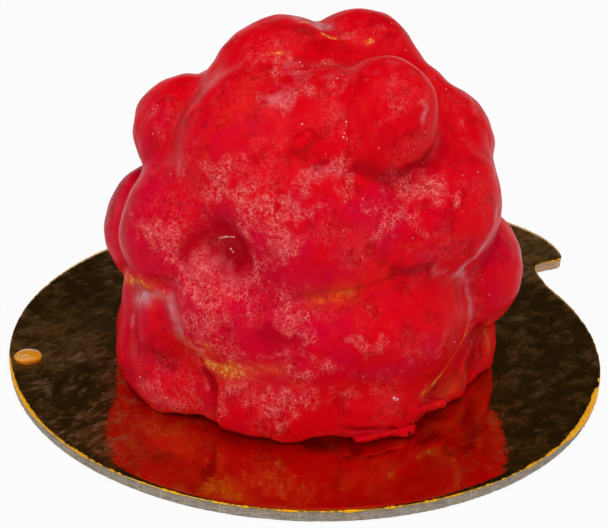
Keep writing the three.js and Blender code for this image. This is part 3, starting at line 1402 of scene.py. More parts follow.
@dataclass
class GlazedCake:
    """The mousse cake: one soft body of lobes under red glaze, flat where it stands on the board."""

    foot: Foot = Foot()
    heart: tuple[Lobe, ...] = (
        Lobe(0, 0, 11, 24.0, 1.0, (1, 1, 0.95)),
        Lobe(0, 0, 22, 22.4, 3.0, (1, 1, 0.95)),
        Lobe(-90, 1, 31, 18.2, 3.0, (1, 1, 0.85)),
    )
    crown: tuple[Lobe, ...] = (
        Lobe(39, 7.5, 40.7, 7.8, 1.0),
        Lobe(8, 12.1, 36.6, 6.2, 2.0),
        Lobe(165, 4.2, 38.6, 9.8, 1.2),
        Lobe(-128, 10.0, 33.6, 11.2, 2.0),
        Lobe(-90, 9.2, 33.0, 10.4, 3.0),
        Lobe(-66, 9.6, 32.6, 8.6, 3.0),
        Lobe(-74, 11.4, 39.8, 5.8, 3.5),
        Lobe(-52.5, 14.2, 40.7, 6.7, 1.4, (1.0, 1.03, 1.16)),
    )
    shoulders: tuple[Lobe, ...] = (
        Lobe(5, 15.3, 31.5, 8.5, 1.2),
        Lobe(-27, 15.9, 27.0, 10.0, 2.2, (1, 1.15, 1)),
        Lobe(178, 15.9, 32.6, 7.6, 1.0),
        Lobe(52, 14.6, 29.5, 9.0, 1.0),
        Lobe(96, 14.8, 30.5, 9.0, 1.0),
        Lobe(138, 14.6, 28.8, 9.0, 1.0),
    )
    belly: tuple[Lobe, ...] = (
        Lobe(172, 18.4, 17.6, 9.2, 0.8),
        Lobe(-150, 16.8, 22.8, 9.8, 2.4),
        Lobe(-100, 14.6, 29.0, 8.4, 4.0),
        Lobe(-80, 14.2, 25.4, 10.0, 3.0, (0.85, 1.1, 1)),
        Lobe(-119, 16.4, 16.6, 9.8, 2.0),
        Lobe(-90, 16.4, 13.6, 8.6, 3.0, (1, 1.1, 1)),
        Lobe(-58, 16.2, 13.8, 9.8, 2.2, (1, 1.15, 1)),
        Lobe(-8, 19.5, 16.0, 8.9, 0.7),
        Lobe(20, 18.6, 13.0, 8.4, 1.0),
        Lobe(45, 18.0, 19.0, 9.2, 0.9),
        Lobe(76, 18.4, 15.6, 9.4, 0.9),
        Lobe(108, 18.0, 20.0, 9.2, 0.9),
        Lobe(140, 18.2, 14.6, 9.4, 0.9),
    )
    feet: tuple[Lobe, ...] = (
        Lobe(-167, 18.2, 8.6, 7.0, 1.0, (1, 1, 1.4)),
        Lobe(-143, 20.6, 11.4, 5.7, 0.7, (1.0, 0.85, 1.35)),
        Lobe(-160, 18.3, 4.2, 8.0, 1.6),
        Lobe(-141, 18.6, 3.8, 8.4, 1.2),
        Lobe(-108, 17.4, 4.2, 8.4, 2.4),
        Lobe(-88, 17.0, 3.4, 8.2, 3.4),
        Lobe(-64, 17.6, 3.4, 8.2, 2.4),
        Lobe(-34, 16.6, 3.6, 7.8, 1.2),
        Lobe(-8, 18.4, 5.0, 7.2, 1.0, (1, 1, 1.6)),
        Lobe(22, 18.6, 4.6, 7.4, 0.8),
        Lobe(54, 18.8, 4.0, 8.0, 0.8),
        Lobe(88, 18.8, 4.8, 8.0, 0.8),
        Lobe(120, 18.8, 4.0, 8.0, 0.8),
        Lobe(150, 18.6, 4.6, 7.6, 0.8),
        Lobe(179, 18.4, 4.0, 7.2, 0.8),
    )
    flaps: tuple[Slab, ...] = (
        Slab(-66.5, 23.7, 2.5, (2.4, 4.4, 0.62), 0.25, 0.5, 6.0),
        Slab(-50, 23.4, 4.6, (2.2, 2.6, 0.5), 0.2, 0.5, -8.0),
    )
    pits: tuple[Lobe, ...] = (
        Lobe(-120.5, 25.0, 25.6, 3.5, 3.6),
        Lobe(-117.5, 22.9, 26.0, 2.0, 2.4, (1, 1.2, 0.95)),
        Lobe(-104, 26.0, 22.2, 2.0, 3.0),
        Lobe(-88.2, 20.2, 37.3, 0.9, 0.8),
        Lobe(-85.2, 19.7, 38.1, 0.7, 0.6),
        Lobe(-83, 25.2, 1.7, 1.2, 0.25, (2.4, 2.3, 0.9)),
        Lobe(-75, 25.8, 1.9, 0.8, 0.2, (2.4, 0.9, 1.1)),
        Lobe(-51, 24.6, 1.7, 1.1, 0.25, (2.0, 1.5, 0.9)),
        Lobe(-43, 24.2, 1.9, 1.0, 0.25, (2.0, 0.9, 1.1)),
        Lobe(-98.5, 25.5, 13.3, 0.4, 0.5),
    )
    seams: tuple[Seam, ...] = (
        Seam(((-106.3, 24.7, 18.9), (-101.8, 23.5, 20.3), (-96.7, 23.2, 21.2), (-84.4, 23.3, 22.2),
              (-77.1, 23.2, 22.2), (-70.2, 23.2, 22.8), (-60.3, 22.8, 23.6), (-50.6, 23.0, 23.6)),
             0.16, 0.14, 0.9),
        Seam(((-141.4, 25.4, 19.3), (-135.8, 24.9, 19.9), (-130.4, 24.9, 20.1)), 0.35, 0.10, 0.9),
        Seam(((-132.6, 25.0, 18.6), (-129.0, 25.5, 16.1), (-129.6, 24.7, 12.0), (-133.3, 24.7, 8.9)),
             0.4, 0.1, 0.9),
        Seam(((-159.0, 24.6, 10.6), (-156.8, 25.3, 8.1), (-154.9, 25.9, 6.1), (-152.3, 26.1, 4.8)),
             0.3, 0.1, 0.7),
        Seam(((-156.0, 24.0, 12.3), (-151.7, 24.9, 8.7)), 0.25, 0.1, 0.6),
        Seam(((-138.9, 25.8, 9.2), (-132.8, 24.9, 8.5)), 0.25, 0.1, 0.6),
        Seam(((-121.1, 24.3, 9.4), (-117.3, 24.7, 7.8)), 0.35, 0.1, 0.6),
        Seam(((-117.8, 24.8, 6.8), (-116.6, 25.1, 2.9)), 0.4, 0.1, 0.9),
        Seam(((-128, 24.6, 11.6), (-121.9, 24.9, 11.3), (-115, 24.6, 9.8)), 0.3, 0.1, 0.9),
        Seam(((-95.7, 18.1, 39.7), (-93.5, 17.7, 40.1), (-91.7, 17.3, 40.6)), 0.7, 0.35, 1.0, True),
        Seam(((-24, 23.9, 10.2), (-30.7, 23.9, 9), (-37.3, 24, 6.5), (-43.5, 23.8, 5)), 1.5, 0.6, 0.35),
        Seam(((-18, 24, 9), (-20, 24.5, 4)), 0.5, 0.2, 0.7),
        Seam(((-13, 25, 10), (-12, 25, 4)), 0.4, 0.2, 0.7),
        Seam(((-77.1, 25.1, 3.7), (-66, 25.2, 3.5), (-55.7, 25.0, 2.6)), 0.22, 0.02, 0.35),
    )
    cracks: tuple[tuple[Triple, ...], ...] = (
        ((-65, 13.1, 47.5), (-68, 14.8, 46.4), (-70.3, 15.6, 44.6), (-72.5, 15.7, 43.3), (-74.9, 17, 41.5),
         (-76.7, 18.5, 39.6), (-78.8, 20, 36.6), (-77.6, 20.7, 35.1), (-76.4, 21.2, 33.4)),
        ((-106.2, 24.7, 10.1), (-105.0, 25.2, 7.6), (-104.7, 25.7, 5.4)),
        ((-96.1, 25.5, 5.1), (-93.0, 25.5, 3.6), (-91.1, 25.4, 2.4)),
        ((-156.0, 24.0, 12.3), (-154.0, 24.4, 10.4), (-151.7, 24.9, 8.7)),
        ((-138.9, 25.8, 9.2), (-136.0, 25.4, 8.6), (-132.8, 24.9, 8.5)),
        ((-121.1, 24.3, 9.4), (-119.0, 24.5, 8.4), (-117.3, 24.7, 7.8)),
        ((-77.0, 25.0, 4.0), (-66.0, 25.0, 3.6), (-56.0, 25.0, 3.0)),
        ((-71, 11, 45.8), (-66, 12.4, 46.6), (-60.5, 13.6, 48.2)),
    )
    threads: tuple[tuple[Triple, ...], ...] = (
        ((-30.8, 23.7, 16.3), (-30.7, 24.0, 14.1), (-31.4, 24.1, 12.1), (-34.1, 24.2, 10.4),
         (-38.7, 24.2, 9.1), (-42.6, 24.0, 7.6), (-48.3, 24.2, 6.8)),
        ((-88.0, 23.2, 21.6), (-82.0, 23.3, 22.0), (-77.0, 23.3, 22.7)),
        ((-86.0, 23.2, 21.0), (-80.0, 23.3, 21.5), (-76.0, 23.3, 22.1)),
        ((-132.1, 24.7, 13.0), (-128.0, 25.0, 13.2), (-124.8, 25.4, 13.1), (-121.2, 25.4, 12.7),
         (-118.5, 25.0, 11.8)),
        ((-20.4, 25.6, 11.7), (-17.0, 25.5, 8.5), (-13.6, 25.3, 5.6)),
    )
    # Painted glints: rows of pale beads, given by start, end, size and count, stand in for the glint lines
    # in the dimple and on the foot.
    glint_streaks: tuple[tuple[Triple, Triple, float, int], ...] = (
        ((-122.2, 21.0, 26.5), (-116.9, 21.3, 27.1), 0.27, 11),
        ((-118.3, 21.1, 25.5), (-117.5, 21.1, 25.3), 0.34, 2),
        ((-63.2, 25.2, 7.4), (-62.2, 25.2, 7.2), 0.5, 3),
    )
    lip_height: float = 2.35
    lip_spread: float = 0.45
    lip_swell: Ripple = Ripple(4.2, 0.34, 13)
    bloom: tuple[Touch, ...] = (
        Touch(((-123, 7.1, 45.9), (-112.3, 14.3, 43.6), (-98.6, 12.1, 44.2), (-92.1, 10.5, 44.7)),
              3.0, 0.7),
        Touch(((-102.1, 9.1, 45.2), (-97.0, 14.6, 42.9)), 2.6, 0.7),
        Touch(((-93.7, 21.2, 35.3), (-86.5, 20.1, 36.7), (-80.9, 20.3, 36.1)), 3.0, 1.0),
        Touch(((-90, 21.6, 33.8), (-82, 21.6, 33.6)), 2.4, 0.9),
        Touch(((-47.4, 20, 35.2), (-44.3, 21.3, 34.1), (-54.1, 20.7, 33.1), (-59, 21.3, 31.4)), 2.4, 0.95),
        Touch(((-66.4, 21.4, 31.8), (-59, 21.3, 31.4)), 2.0, 0.8),
        Touch(((-50.9, 22.5, 30.9), (-56, 22.2, 28.6)), 2.2, 0.75),
        Touch(((-132.9, 21.1, 34.4), (-120.9, 21.2, 34.6), (-111.3, 21.9, 33.4), (-101.7, 22.8, 32)),
              3.2, 0.95),
        Touch(((-140.7, 25, 27), (-135.6, 24.7, 25.2), (-140.7, 25.6, 25.3)), 3.0, 1.0),
        Touch(((-134, 21.6, 31.4), (-128, 21.8, 30.4)), 2.4, 0.5),
        Touch(((-126.3, 22, 24.3), (-119.8, 21.6, 23.9), (-111.6, 22.8, 23.8)), 3.0, 1.0),
        Touch(((-130.6, 24.3, 22), (-122.5, 24.8, 21), (-112.5, 24.8, 20.9), (-104.4, 23.3, 20.8),
               (-97.5, 24, 19.1)), 2.8, 0.95),
        Touch(((-102.5, 23.3, 29.5), (-99.8, 23.5, 28.1), (-95.4, 23.5, 25.2)), 2.8, 0.95),
        Touch(((-121, 25.9, 19), (-117.8, 26, 14.4), (-116.2, 24.9, 11.4)), 3.6, 1.0),
        Touch(((-92.2, 23.9, 19.2), (-89.3, 24.9, 16.1)), 2.0, 1.0),
        Touch(((-74.8, 24.2, 18.5), (-70.9, 25, 16.9)), 1.5, 0.8),
        Touch(((-64.3, 25.4, 16.7), (-60.5, 26, 13.8)), 2.8, 0.45),
        Touch(((-105.5, 25.1, 8.1), (-98.8, 25.3, 6.7), (-93.9, 25, 8.1)), 2.8, 0.95),
        Touch(((-83.8, 25, 10.8), (-77.9, 24.6, 8.6)), 2.4, 0.75),
        Touch(((-95.6, 25.2, 13.3), (-90.1, 25.2, 11.7)), 2.2, 0.8),
        Touch(((-108.5, 25.4, 15.3), (-104, 25, 12)), 2.4, 0.6),
        Touch(((-137.2, 26.9, 3.3), (-131.5, 25.8, 6.3), (-125.5, 24.8, 3.2)), 2.6, 0.6),
        Touch(((-142, 26.6, 8), (-133, 25.8, 7), (-124, 25, 8)), 2.6, 0.6),
        Touch(((-51.7, 19.8, 46.4), (-49.6, 20.8, 44.8), (-60.6, 18.4, 46.6), (-59.2, 20.2, 44)),
              2.2, 0.55),
        Touch(((-168.3, 20.2, 37.1), (-167.3, 21.3, 35.1)), 2.6, 0.45),
        Touch(((-163.9, 10.6, 45.1), (-147.2, 6.9, 46.9)), 3.0, 0.5),
        Touch(((24.8, 4.6, 47.8), (12.4, 8.2, 47.6)), 2.6, 0.6),
        Touch(((-0.7, 17.8, 39.6), (-3.9, 20, 38.1), (-5.8, 21.4, 36.4)), 2.2, 0.45),
        Touch(((-51.1, 25.8, 14), (-51.7, 25.4, 11), (-45.5, 25.2, 12.1)), 2.2, 0.55),
        Touch(((10, 23, 30), (24, 23, 34)), 3.2, 0.8),
        Touch(((52, 23, 33), (60, 23, 28)), 3.4, 0.9),
        Touch(((36, 26, 20), (44, 26, 15)), 3.4, 0.9),
        Touch(((80, 27, 13), (70, 27, 10)), 3.2, 0.8),
        Touch(((98, 22.5, 34), (90, 23, 30)), 3.2, 0.9),
        Touch(((112, 26, 20), (104, 26, 16)), 3.6, 0.9),
        Touch(((142, 25, 14), (150, 26, 9)), 3.4, 0.9),
        Touch(((140, 22, 31), (128, 23, 28)), 3.4, 0.8),
        Touch(((170, 26, 18), (164, 27, 22)), 3.2, 0.8),
        Touch(((30, 12, 46), (60, 13, 43)), 3.0, 0.7),
        Touch(((20, 27, 10), (8, 28, 14)), 3.0, 0.7),
        Touch(((120, 9, 45), (150, 10, 45)), 3.0, 0.6),
    )
    frost: tuple[Touch, ...] = (
        Touch(((-112.3, 14.3, 43.6), (-103, 12.5, 44.2)), 1.8, 1.1),
        Touch(((-98.6, 12.1, 44.2), (-92.1, 10.5, 44.7)), 1.6, 0.7),
        Touch(((-107.6, 6.5, 45.8), (-102.1, 9.1, 45.2)), 1.3, 0.9),
        Touch(((-81.1, 12, 44.3), (-70.6, 11, 45.4)), 1.0, 0.8),
        Touch(((-93.7, 21.2, 35.3), (-86.5, 20.1, 36.7), (-80.9, 20.3, 36.1)), 1.8, 0.9),
        Touch(((-91.4, 19.5, 37.5), (-85, 18.3, 39.4)), 0.9, 0.7),
        Touch(((-127.3, 22.5, 23.3), (-119.8, 22.5, 22.6), (-111.6, 23.2, 22.8)), 1.5, 0.85),
        Touch(((-101.5, 23.4, 29.0), (-99.8, 23.5, 28.1), (-95.4, 23.5, 25.2), (-96.5, 23.4, 24.4)),
              1.6, 0.9),
        Touch(((-121, 25.9, 19), (-118, 26, 16)), 1.8, 0.5),
        Touch(((-62.8, 14.9, 48),), 1.2, 0.8),
        Touch(((-98.8, 25.3, 6.7), (-96.2, 25.5, 5.7)), 1.5, 0.7),
        Touch(((-27.3, 21.7, 35.1), (-26.1, 22.7, 34.3)), 1.4, 0.35),
        Touch(((-50, 20.6, 34.6), (-56, 20.8, 32.7)), 1.4, 0.5),
        Touch(((60, 23, 31),), 2.6, 0.8),
        Touch(((110, 26, 21),), 2.8, 0.8),
        Touch(((150, 25.5, 15),), 2.4, 0.8),
    )
    # Painted sheen: pale highlight strokes along lobe edges and arcs, on the ball's rim, on the crown and
    # low on the foot.
    haze: tuple[Touch, ...] = (
        Touch(((-157.8, 24.7, 9.7), (-155.8, 23.9, 13.2), (-151.6, 24.5, 16.2)), 0.6, 0.8),
        Touch(((-151.6, 24.5, 16.2), (-144.6, 24.8, 16.2)), 1.2, 0.95),
        Touch(((-144.6, 24.8, 16.7), (-138.7, 24.8, 18.1), (-133.1, 25.0, 18.3)), 0.6, 0.6),
        Touch(((-133.1, 25.0, 17.3), (-129.6, 25.4, 15.4), (-129.4, 25.2, 13.0)), 0.9, 0.9),
        Touch(((-24, 25.6, 29.0), (-27, 25.9, 27.5), (-30, 25.8, 25.6)), 0.45, 0.8),
        Touch(((-30, 25.8, 25.6), (-34.2, 24.9, 23.0), (-37, 24.1, 21.6)), 0.65, 0.95),
        Touch(((-45.9, 23.6, 22.7), (-41.2, 23.7, 21.5), (-37, 24, 21.4), (-33, 23.6, 20.2),
               (-30.1, 23.3, 18.7)), 0.6, 0.95),
        Touch(((-30.1, 23.3, 18.7), (-29.5, 23.6, 17.2), (-28.4, 24.1, 15.6), (-29.5, 24, 13.5)),
              0.45, 0.85),
        Touch(((-5, 27.3, 22), (-8, 28, 19), (-12, 27.6, 15.5)), 0.8, 0.55),
        Touch(((-50.9, 15, 49.3), (-49, 17, 48.8), (-46.2, 18.4, 47.7)), 0.5, 0.9),
        Touch(((-46.5, 19.2, 46), (-47.4, 19.6, 45.1), (-48, 20.2, 43.8), (-49.7, 20.6, 42.7)), 0.35, 0.9),
        Touch(((-140, 26.4, 4.5), (-128, 26, 3.6), (-118, 25.6, 3.2)), 1.0, 0.15),
        Touch(((125.5, 5.2, 47.8), (156.9, 2.7, 48.3)), 0.5, 0.9),
        Touch(((-112.3, 14.3, 43.6), (-108, 13.5, 43.9)), 0.45, 0.75),
        Touch(((-107, 6.9, 45.8), (-103, 8.5, 45.4)), 0.4, 0.75),
        Touch(((-79, 12, 44.4), (-72, 11.2, 45.3)), 0.4, 0.75),
        Touch(((60, 3.0, 47.0), (90, 4.0, 46.6)), 0.8, 0.8),
        Touch(((35, 24, 15),), 2.2, 0.6),
        Touch(((92, 24, 24),), 2.2, 0.6),
        Touch(((126, 25, 11),), 2.2, 0.6),
    )
    gilt: tuple[Touch, ...] = (
        Touch(((-169.2, 24.3, 13.9), (-162.3, 23.9, 14.5)), 0.7, 0.9),
        Touch(((-154, 24.4, 16.4), (-147.6, 25.3, 17.9), (-142, 25, 18.8)), 0.9, 0.9),
        Touch(((-118.8, 25.9, 14.3), (-116.7, 25.0, 11.7)), 0.8, 0.55),
        Touch(((-118.3, 24.8, 11.2), (-114.8, 24.6, 10.5), (-111.5, 24.7, 11.2)), 1.1, 1.75),
        Touch(((-110.6, 24.7, 11.0), (-104.4, 24.9, 11.8), (-97, 25.2, 12.2)), 0.9, 0.5),
        Touch(((-132.1, 24.7, 13), (-124.8, 25.4, 13.1)), 0.7, 0.5),
        Touch(((-88, 23.3, 21.6), (-78, 23.3, 22.3)), 1.2, 0.5),
        Touch(((-42.6, 24.0, 7.6), (-48.3, 24.2, 6.8), (-53, 24.6, 6.4)), 0.6, 0.8),
        Touch(((-31.4, 24.1, 12.1), (-34.1, 24.2, 10.4)), 0.5, 0.8),
        Touch(((-17.0, 25.5, 8.5), (-13.6, 25.3, 5.6)), 0.9, 0.5),
        Touch(((-30, 24.2, 5.0), (-40, 24.1, 4.4), (-46, 24, 3.2)), 1.2, 0.42),
        Touch(((148.5, 2.4, 48.2), (115, 1.8, 48.0)), 0.4, 1.3),
        Touch(((20.7, 0.7, 47.2), (10.5, 1.7, 46.8), (5, 2.8, 46.6)), 0.35, 1.2),
        Touch(((-138.1, 7.4, 46.2), (-130, 6.5, 46.4)), 0.35, 1.0),
        Touch(((-165.7, 24.1, 14.4),), 0.4, 1.3),
        Touch(((-6.2, 6.2, 46.4), (-0.4, 7.1, 46.7)), 0.45, 1.2),
        Touch(((-76.2, 8.0, 45.4), (-68.9, 7.7, 45.4)), 0.45, 1.1),
        Touch(((-153.3, 25.9, 5.9),), 0.4, 1.3),
        Touch(((-157, 24.8, 9.4),), 0.4, 0.9),
        Touch(((62, 25, 17), (70, 25, 18)), 0.8, 0.9),
        Touch(((124, 25, 17), (118, 25, 16)), 0.8, 0.9),
    )
    warm: tuple[Touch, ...] = (
        Touch(((-74, 22, 28.9), (-72, 23.2, 24.4)), 2.8, 0.7),
        Touch(((-88, 23.3, 21.8), (-78, 23.3, 22.4), (-68, 23.2, 24.2)), 1.7, 1.0),
        Touch(((-122, 25, 12), (-112, 24.6, 10.4), (-98, 24.6, 10.6), (-88, 24.4, 10.4)), 1.5, 0.85),
        Touch(((-131, 25.6, 13), (-126, 25.6, 10)), 1.5, 0.7),
        Touch(((-173.9, 25.1, 14.1), (-162.3, 23.9, 14.5), (-147.6, 25.3, 17.9), (-138, 24.8, 19.4)),
              1.1, 0.9),
        Touch(((-131, 11.4, 44.8), (-125.4, 15.7, 43.2), (-127.6, 18.7, 40.7), (-130.1, 20.4, 37.6)),
              1.4, 0.8),
        Touch(((-160, 17.5, 36.5), (-150, 18.5, 34.5)), 1.8, 0.6),
        Touch(((-95.7, 18.1, 39.7), (-93.5, 17.7, 40.1), (-91.7, 17.3, 40.6)), 0.7, 1.2),
        Touch(((-25, 24.8, 30),), 3.0, 0.5),
        Touch(((-46, 24.6, 5), (-30, 24.6, 7), (-20, 24.6, 10), (-14, 25, 6)), 1.8, 0.65),
        Touch(((-64, 25, 5.6), (-54, 25, 6.4)), 1.6, 0.5),
        Touch(((-4, 5, 47), (-30, 8, 46.4)), 1.6, 0.6),
        Touch(((70, 22, 27),), 4.0, 0.7),
        Touch(((130, 24, 24),), 4.0, 0.7),
        Touch(((60, 26, 5), (100, 26, 6)), 1.8, 0.6),
    )
    # Painted shade: these dark strokes darken the glaze in the dimple, under the ball, in pockets, recesses
    # and creases, and in a few patches on the top.
    dark: tuple[Touch, ...] = (
        Touch(((-120.5, 21.0, 25.0), (-116.6, 21.2, 25.4)), 1.7, 0.8),
        Touch(((-172, 14.9, 40.6), (-159, 16.0, 40.6), (-150, 17.4, 40.1), (-146.9, 19.0, 38.6),
               (-145, 20, 36.6)), 0.6, 0.7),
        Touch(((168, 26, 25), (176.0, 26.4, 21.8), (179.0, 26.8, 20.3)), 2.2, 0.9),
        Touch(((-132, 23, 25.6), (-122.9, 21.6, 28.5), (-112.1, 22.6, 30.2)), 2.2, 0.22),
        Touch(((-71.9, 19.9, 37.2), (-64, 20.3, 36), (-54.4, 20.2, 36.3), (-46, 19.9, 36.8)), 1.2, 0.9),
        Touch(((-62.6, 22.9, 24.5), (-55.6, 22.8, 23.5), (-49, 23.2, 23.5)), 1.1, 0.8),
        Touch(((-87.8, 19.2, 37.4), (-85, 18.8, 38.2)), 0.7, 0.5),
        Touch(((-93.2, 18.6, 39.1), (-94.7, 18.5, 39.3)), 0.5, 0.4),
        Touch(((-18, 24.2, 9), (-22, 23.9, 8.7), (-24, 23.7, 6), (-32, 24.2, 5.2)), 1.4, 0.8),
        Touch(((-121.1, 24.3, 9.4), (-117.3, 24.7, 7.8)), 0.9, 0.8),
        Touch(((-71, 22.8, 27.8), (-69, 22.6, 29.6)), 1.2, 0.4),
        Touch(((-102.6, 24.8, 17.5), (-91.6, 25, 16)), 1.4, 0.5),
        Touch(((-150, 3, 47.4), (-170, 6, 47)), 1.8, 0.5),
        Touch(((-144, 24.5, 13), (-140, 25, 10)), 1.2, 0.5),
    )
    wet: tuple[Touch, ...] = (
        Touch(((-121.4, 20.7, 26.3), (-118.1, 20.6, 26.6)), 0.9, 0.4),
        Touch(((-63, 25.1, 7.3),), 0.9),
        Touch(((-112.3, 14.3, 43.6), (-105.6, 6.5, 45.8), (-92.1, 10.5, 44.7)), 1.6, 0.5),
        Touch(((-81.1, 12, 44.3), (-70.6, 11, 45.4)), 1.0, 0.7),
        Touch(((-75.6, 16.3, 42.1), (-78.2, 17.6, 40.8)), 0.9),
        Touch(((-50.9, 15, 49.3), (-49, 17, 48.8), (-46.2, 18.4, 47.7)), 0.9, 0.8),
        Touch(((-136.1, 15.8, 43), (-138.4, 12.8, 44.3), (-134.8, 9.5, 45.3)), 0.7, 0.8),
        Touch(((-124.8, 21.9, 25.3),), 0.7),
        Touch(((60, 3.0, 47.0),), 1.5),
        Touch(((-33, 23.1, 20.1),), 1.4, 0.7),
        Touch(((-143, 25, 17.6), (-155.8, 23.9, 13.2)), 1.3, 0.7),
        Touch(((40, 24, 24), (100, 24, 22), (150, 24, 20)), 1.6, 0.5),
    )
    # Pale sugar beads set at these places, given by azimuth, reach, height and size: painted glints.
    crystals_and_glints: tuple[tuple[float, float, float, float], ...] = (
        (-75.6, 16.3, 42.1, 0.36), (-77.6, 17.2, 41.1, 0.30),
        (-78.2, 17.6, 40.8, 0.34), (-76.7, 17.8, 40.6, 0.28), (-142.1, 26.8, 5.6, 0.40),
        (-138.0, 14.0, 43.8, 0.26), (-79.6, 22.6, 30.6, 0.26), (-79.4, 22.8, 30.0, 0.22),
        (-81.5, 24.6, 18.8, 0.26), (-75.0, 25.2, 17.0, 0.24), (-46.0, 20.8, 36.4, 0.26),
        (-40.0, 24.8, 12.2, 0.30), (-50.6, 24.5, 7.3, 0.26), (-103.0, 12.4, 44.3, 0.30),
        (-97.5, 12.6, 44.0, 0.26), (-106.0, 7.6, 45.6, 0.34), (-103.6, 7.2, 45.6, 0.28),
        (-112.3, 14.3, 43.6, 0.36), (-110.4, 14.0, 43.7, 0.28), (-108.5, 13.5, 43.9, 0.34),
        (-114.0, 13.8, 43.8, 0.26), (-106.2, 13.0, 44.1, 0.28), (-79.0, 12.0, 44.4, 0.30),
        (-76.0, 11.6, 44.9, 0.34), (-72.0, 11.2, 45.3, 0.30), (-108.0, 6.6, 45.8, 0.34),
        (-104.5, 8.6, 45.4, 0.26), (138.0, 4.4, 47.9, 0.34), (125.0, 4.8, 47.8, 0.30),
        (2.0, 10.4, 45.3, 0.26), (2.6, 11.0, 44.8, 0.26), (60.0, 3.2, 47.0, 0.40),
        (75.0, 25.6, 17.5, 0.36), (130.0, 25.4, 21.0, 0.34), (165.0, 26.6, 15.0, 0.32),
    )
    glint_scale: float = 0.65
    glint_seed: int = 71
    specks: Sowing = Sowing("sugar_specks", Grain.BEAD, 4, 1.6, (0.10, 0.10, 0.06), (0.26, 0.26, 0.16))
    net: SkinNet = SkinNet()
    ripples: tuple[Ripple, ...] = (Ripple(8.0, 0.10, 11), Ripple(2.6, 0.032, 12))
    reach: float = 31.0
    top: float = 51.0
    still_foot: float = 0.2
    bare_foot: float = 1.5
    fade_height: float = 2.0
    lip_start: float = 0.3
    lip_lift: float = 0.12
    lip_range: tuple[float, float] = (-0.1, 0.7)
    crease_probes: Pairs = ((1.6, 0.6), (5.0, 0.9))
    dark_stray: float = 0.5
    line_stray: float = 0.12
    brushes: tuple[tuple[str, float], ...] = (
        ("bloom", 1.7), ("frost", 1.1), ("haze", 0.3), ("gilt", 0.25), ("warm", 0.8), ("wet", 0.4),
    )
    skin: SkinField = field(init=False, repr=False)

    def build(self, shop: Workshop, glaze: Material) -> Piece:
        """Makes the glazed skin and paints it.

        Args:
            shop: The workshop.
            glaze: The glaze's material.

        Returns:
            The skin.
        """
        lobes = [*self.heart, *self.crown, *self.shoulders, *self.belly, *self.feet, *self.flaps]
        self.skin = SkinField(lobes, list(self.pits), list(self.seams), self.foot)
        low = np.array([-self.reach, -self.reach, self.foot.height - 2 * self.net.step])
        points, faces = self.net.wrap(self.skin, low, np.array([self.reach, self.reach, self.top]))
        points = self.skin.onto_skin(points, 2, self.net.step)
        normals = self.skin.normals(points)
        points = points + normals * self._swell(points)[:, None]
        points[:, 2] = np.maximum(points[:, 2], self.foot.height)
        piece = shop.mesh("cake_skin", points, faces.tolist(), glaze)
        self._paint(shop, piece, points, normals)
        return piece

    def _swell(self, points: Array) -> Array:
        """How far the glaze's ripples and the lip at its foot stand proud.

        Args:
            points: Points on the skin.

        Returns:
            One height for each point.
        """
        over_foot = points[:, 2] - self.foot.height
        standing = np.clip((over_foot - self.still_foot) / self.fade_height, 0, 1)
        lip = np.exp(-((points[:, 2] - self.lip_height) / self.lip_spread) ** 2)
        lip = lip * np.clip(over_foot / self.lip_start, 0, 1)
        swell = sum(ripple.at(points) for ripple in self.ripples)
        return swell * standing + lip * np.clip(self.lip_swell.at(points) + self.lip_lift, *self.lip_range)

    def _paint(self, shop: Workshop, piece: Piece, points: Array, normals: Array) -> None:
        """Paints on the skin where its creases, lines and strokes are.

        Args:
            shop: The workshop.
            piece: The skin.
            points: Its points, in millimetres.
            normals: The unit vector out of it at each.
        """
        stray = strayed(points)
        hollow = self.skin.hollow
        # Painted shade: the crease depth and the dark strokes are painted together as the hollow attribute,
        # which the glaze darkens towards its shade colour.
        creases = sum(share * hollow(points, normals, probe) for probe, share in self.crease_probes)
        shade = painted(points + stray * self.dark_stray, self.dark)
        for name, lines in (("crack", self.cracks), ("thread", self.threads)):
            routes = [self.skin.onto_skin(np.array([polar(*mark) for mark in line])) for line in lines]
            offset, gap = line_offsets(points + stray * self.line_stray, normals, routes)
            shop.paint(piece, name, offset)
            shop.paint(piece, f"{name}_gap", gap)
        shop.paint(piece, "hollow", np.clip(creases + shade, 0, 1))
        for name, wander in self.brushes:
            shop.paint(piece, name, painted(points + stray * wander, getattr(self, name)))
        over_foot = points[:, 2] - self.foot.height
        shop.paint(piece, "sow", np.clip((over_foot - self.bare_foot) / self.fade_height, 0, 1))

    def sown_crystals(self, skin_piece: Piece, crystal_and_glint: Material) -> Piece:
        """Sows tiny crystals of sugar thinly over the skin.

        Args:
            skin_piece: The skin.
            crystal_and_glint: The crystals' material.

        Returns:
            The crystals.
        """
        return self.specks.sow(skin_piece, crystal_and_glint)

    def set_glints(self, shop: Workshop, crystal_and_glint: Material) -> Piece:
        """Sets larger sugar beads at their own places on the skin, and rows of them along given stretches,
        as painted glints.

        Args:
            shop: The workshop.
            crystal_and_glint: Their material.

        Returns:
            The crystals.
        """
        spots = [polar(*place) for *place, _ in self.crystals_and_glints]
        sizes = [size * self.glint_scale for *_, size in self.crystals_and_glints]
        for start, end, size, count in self.glint_streaks:
            spots += list(np.linspace(polar(*start), polar(*end), count))
            sizes += [size] * count
        marks = self.skin.onto_skin(np.array(spots))
        points, faces = beads(marks, self.skin.normals(marks), np.array(sizes), self.glint_seed)
        return shop.mesh("sugar_glint_beads", points, faces, crystal_and_glint)


# ---- The board ----


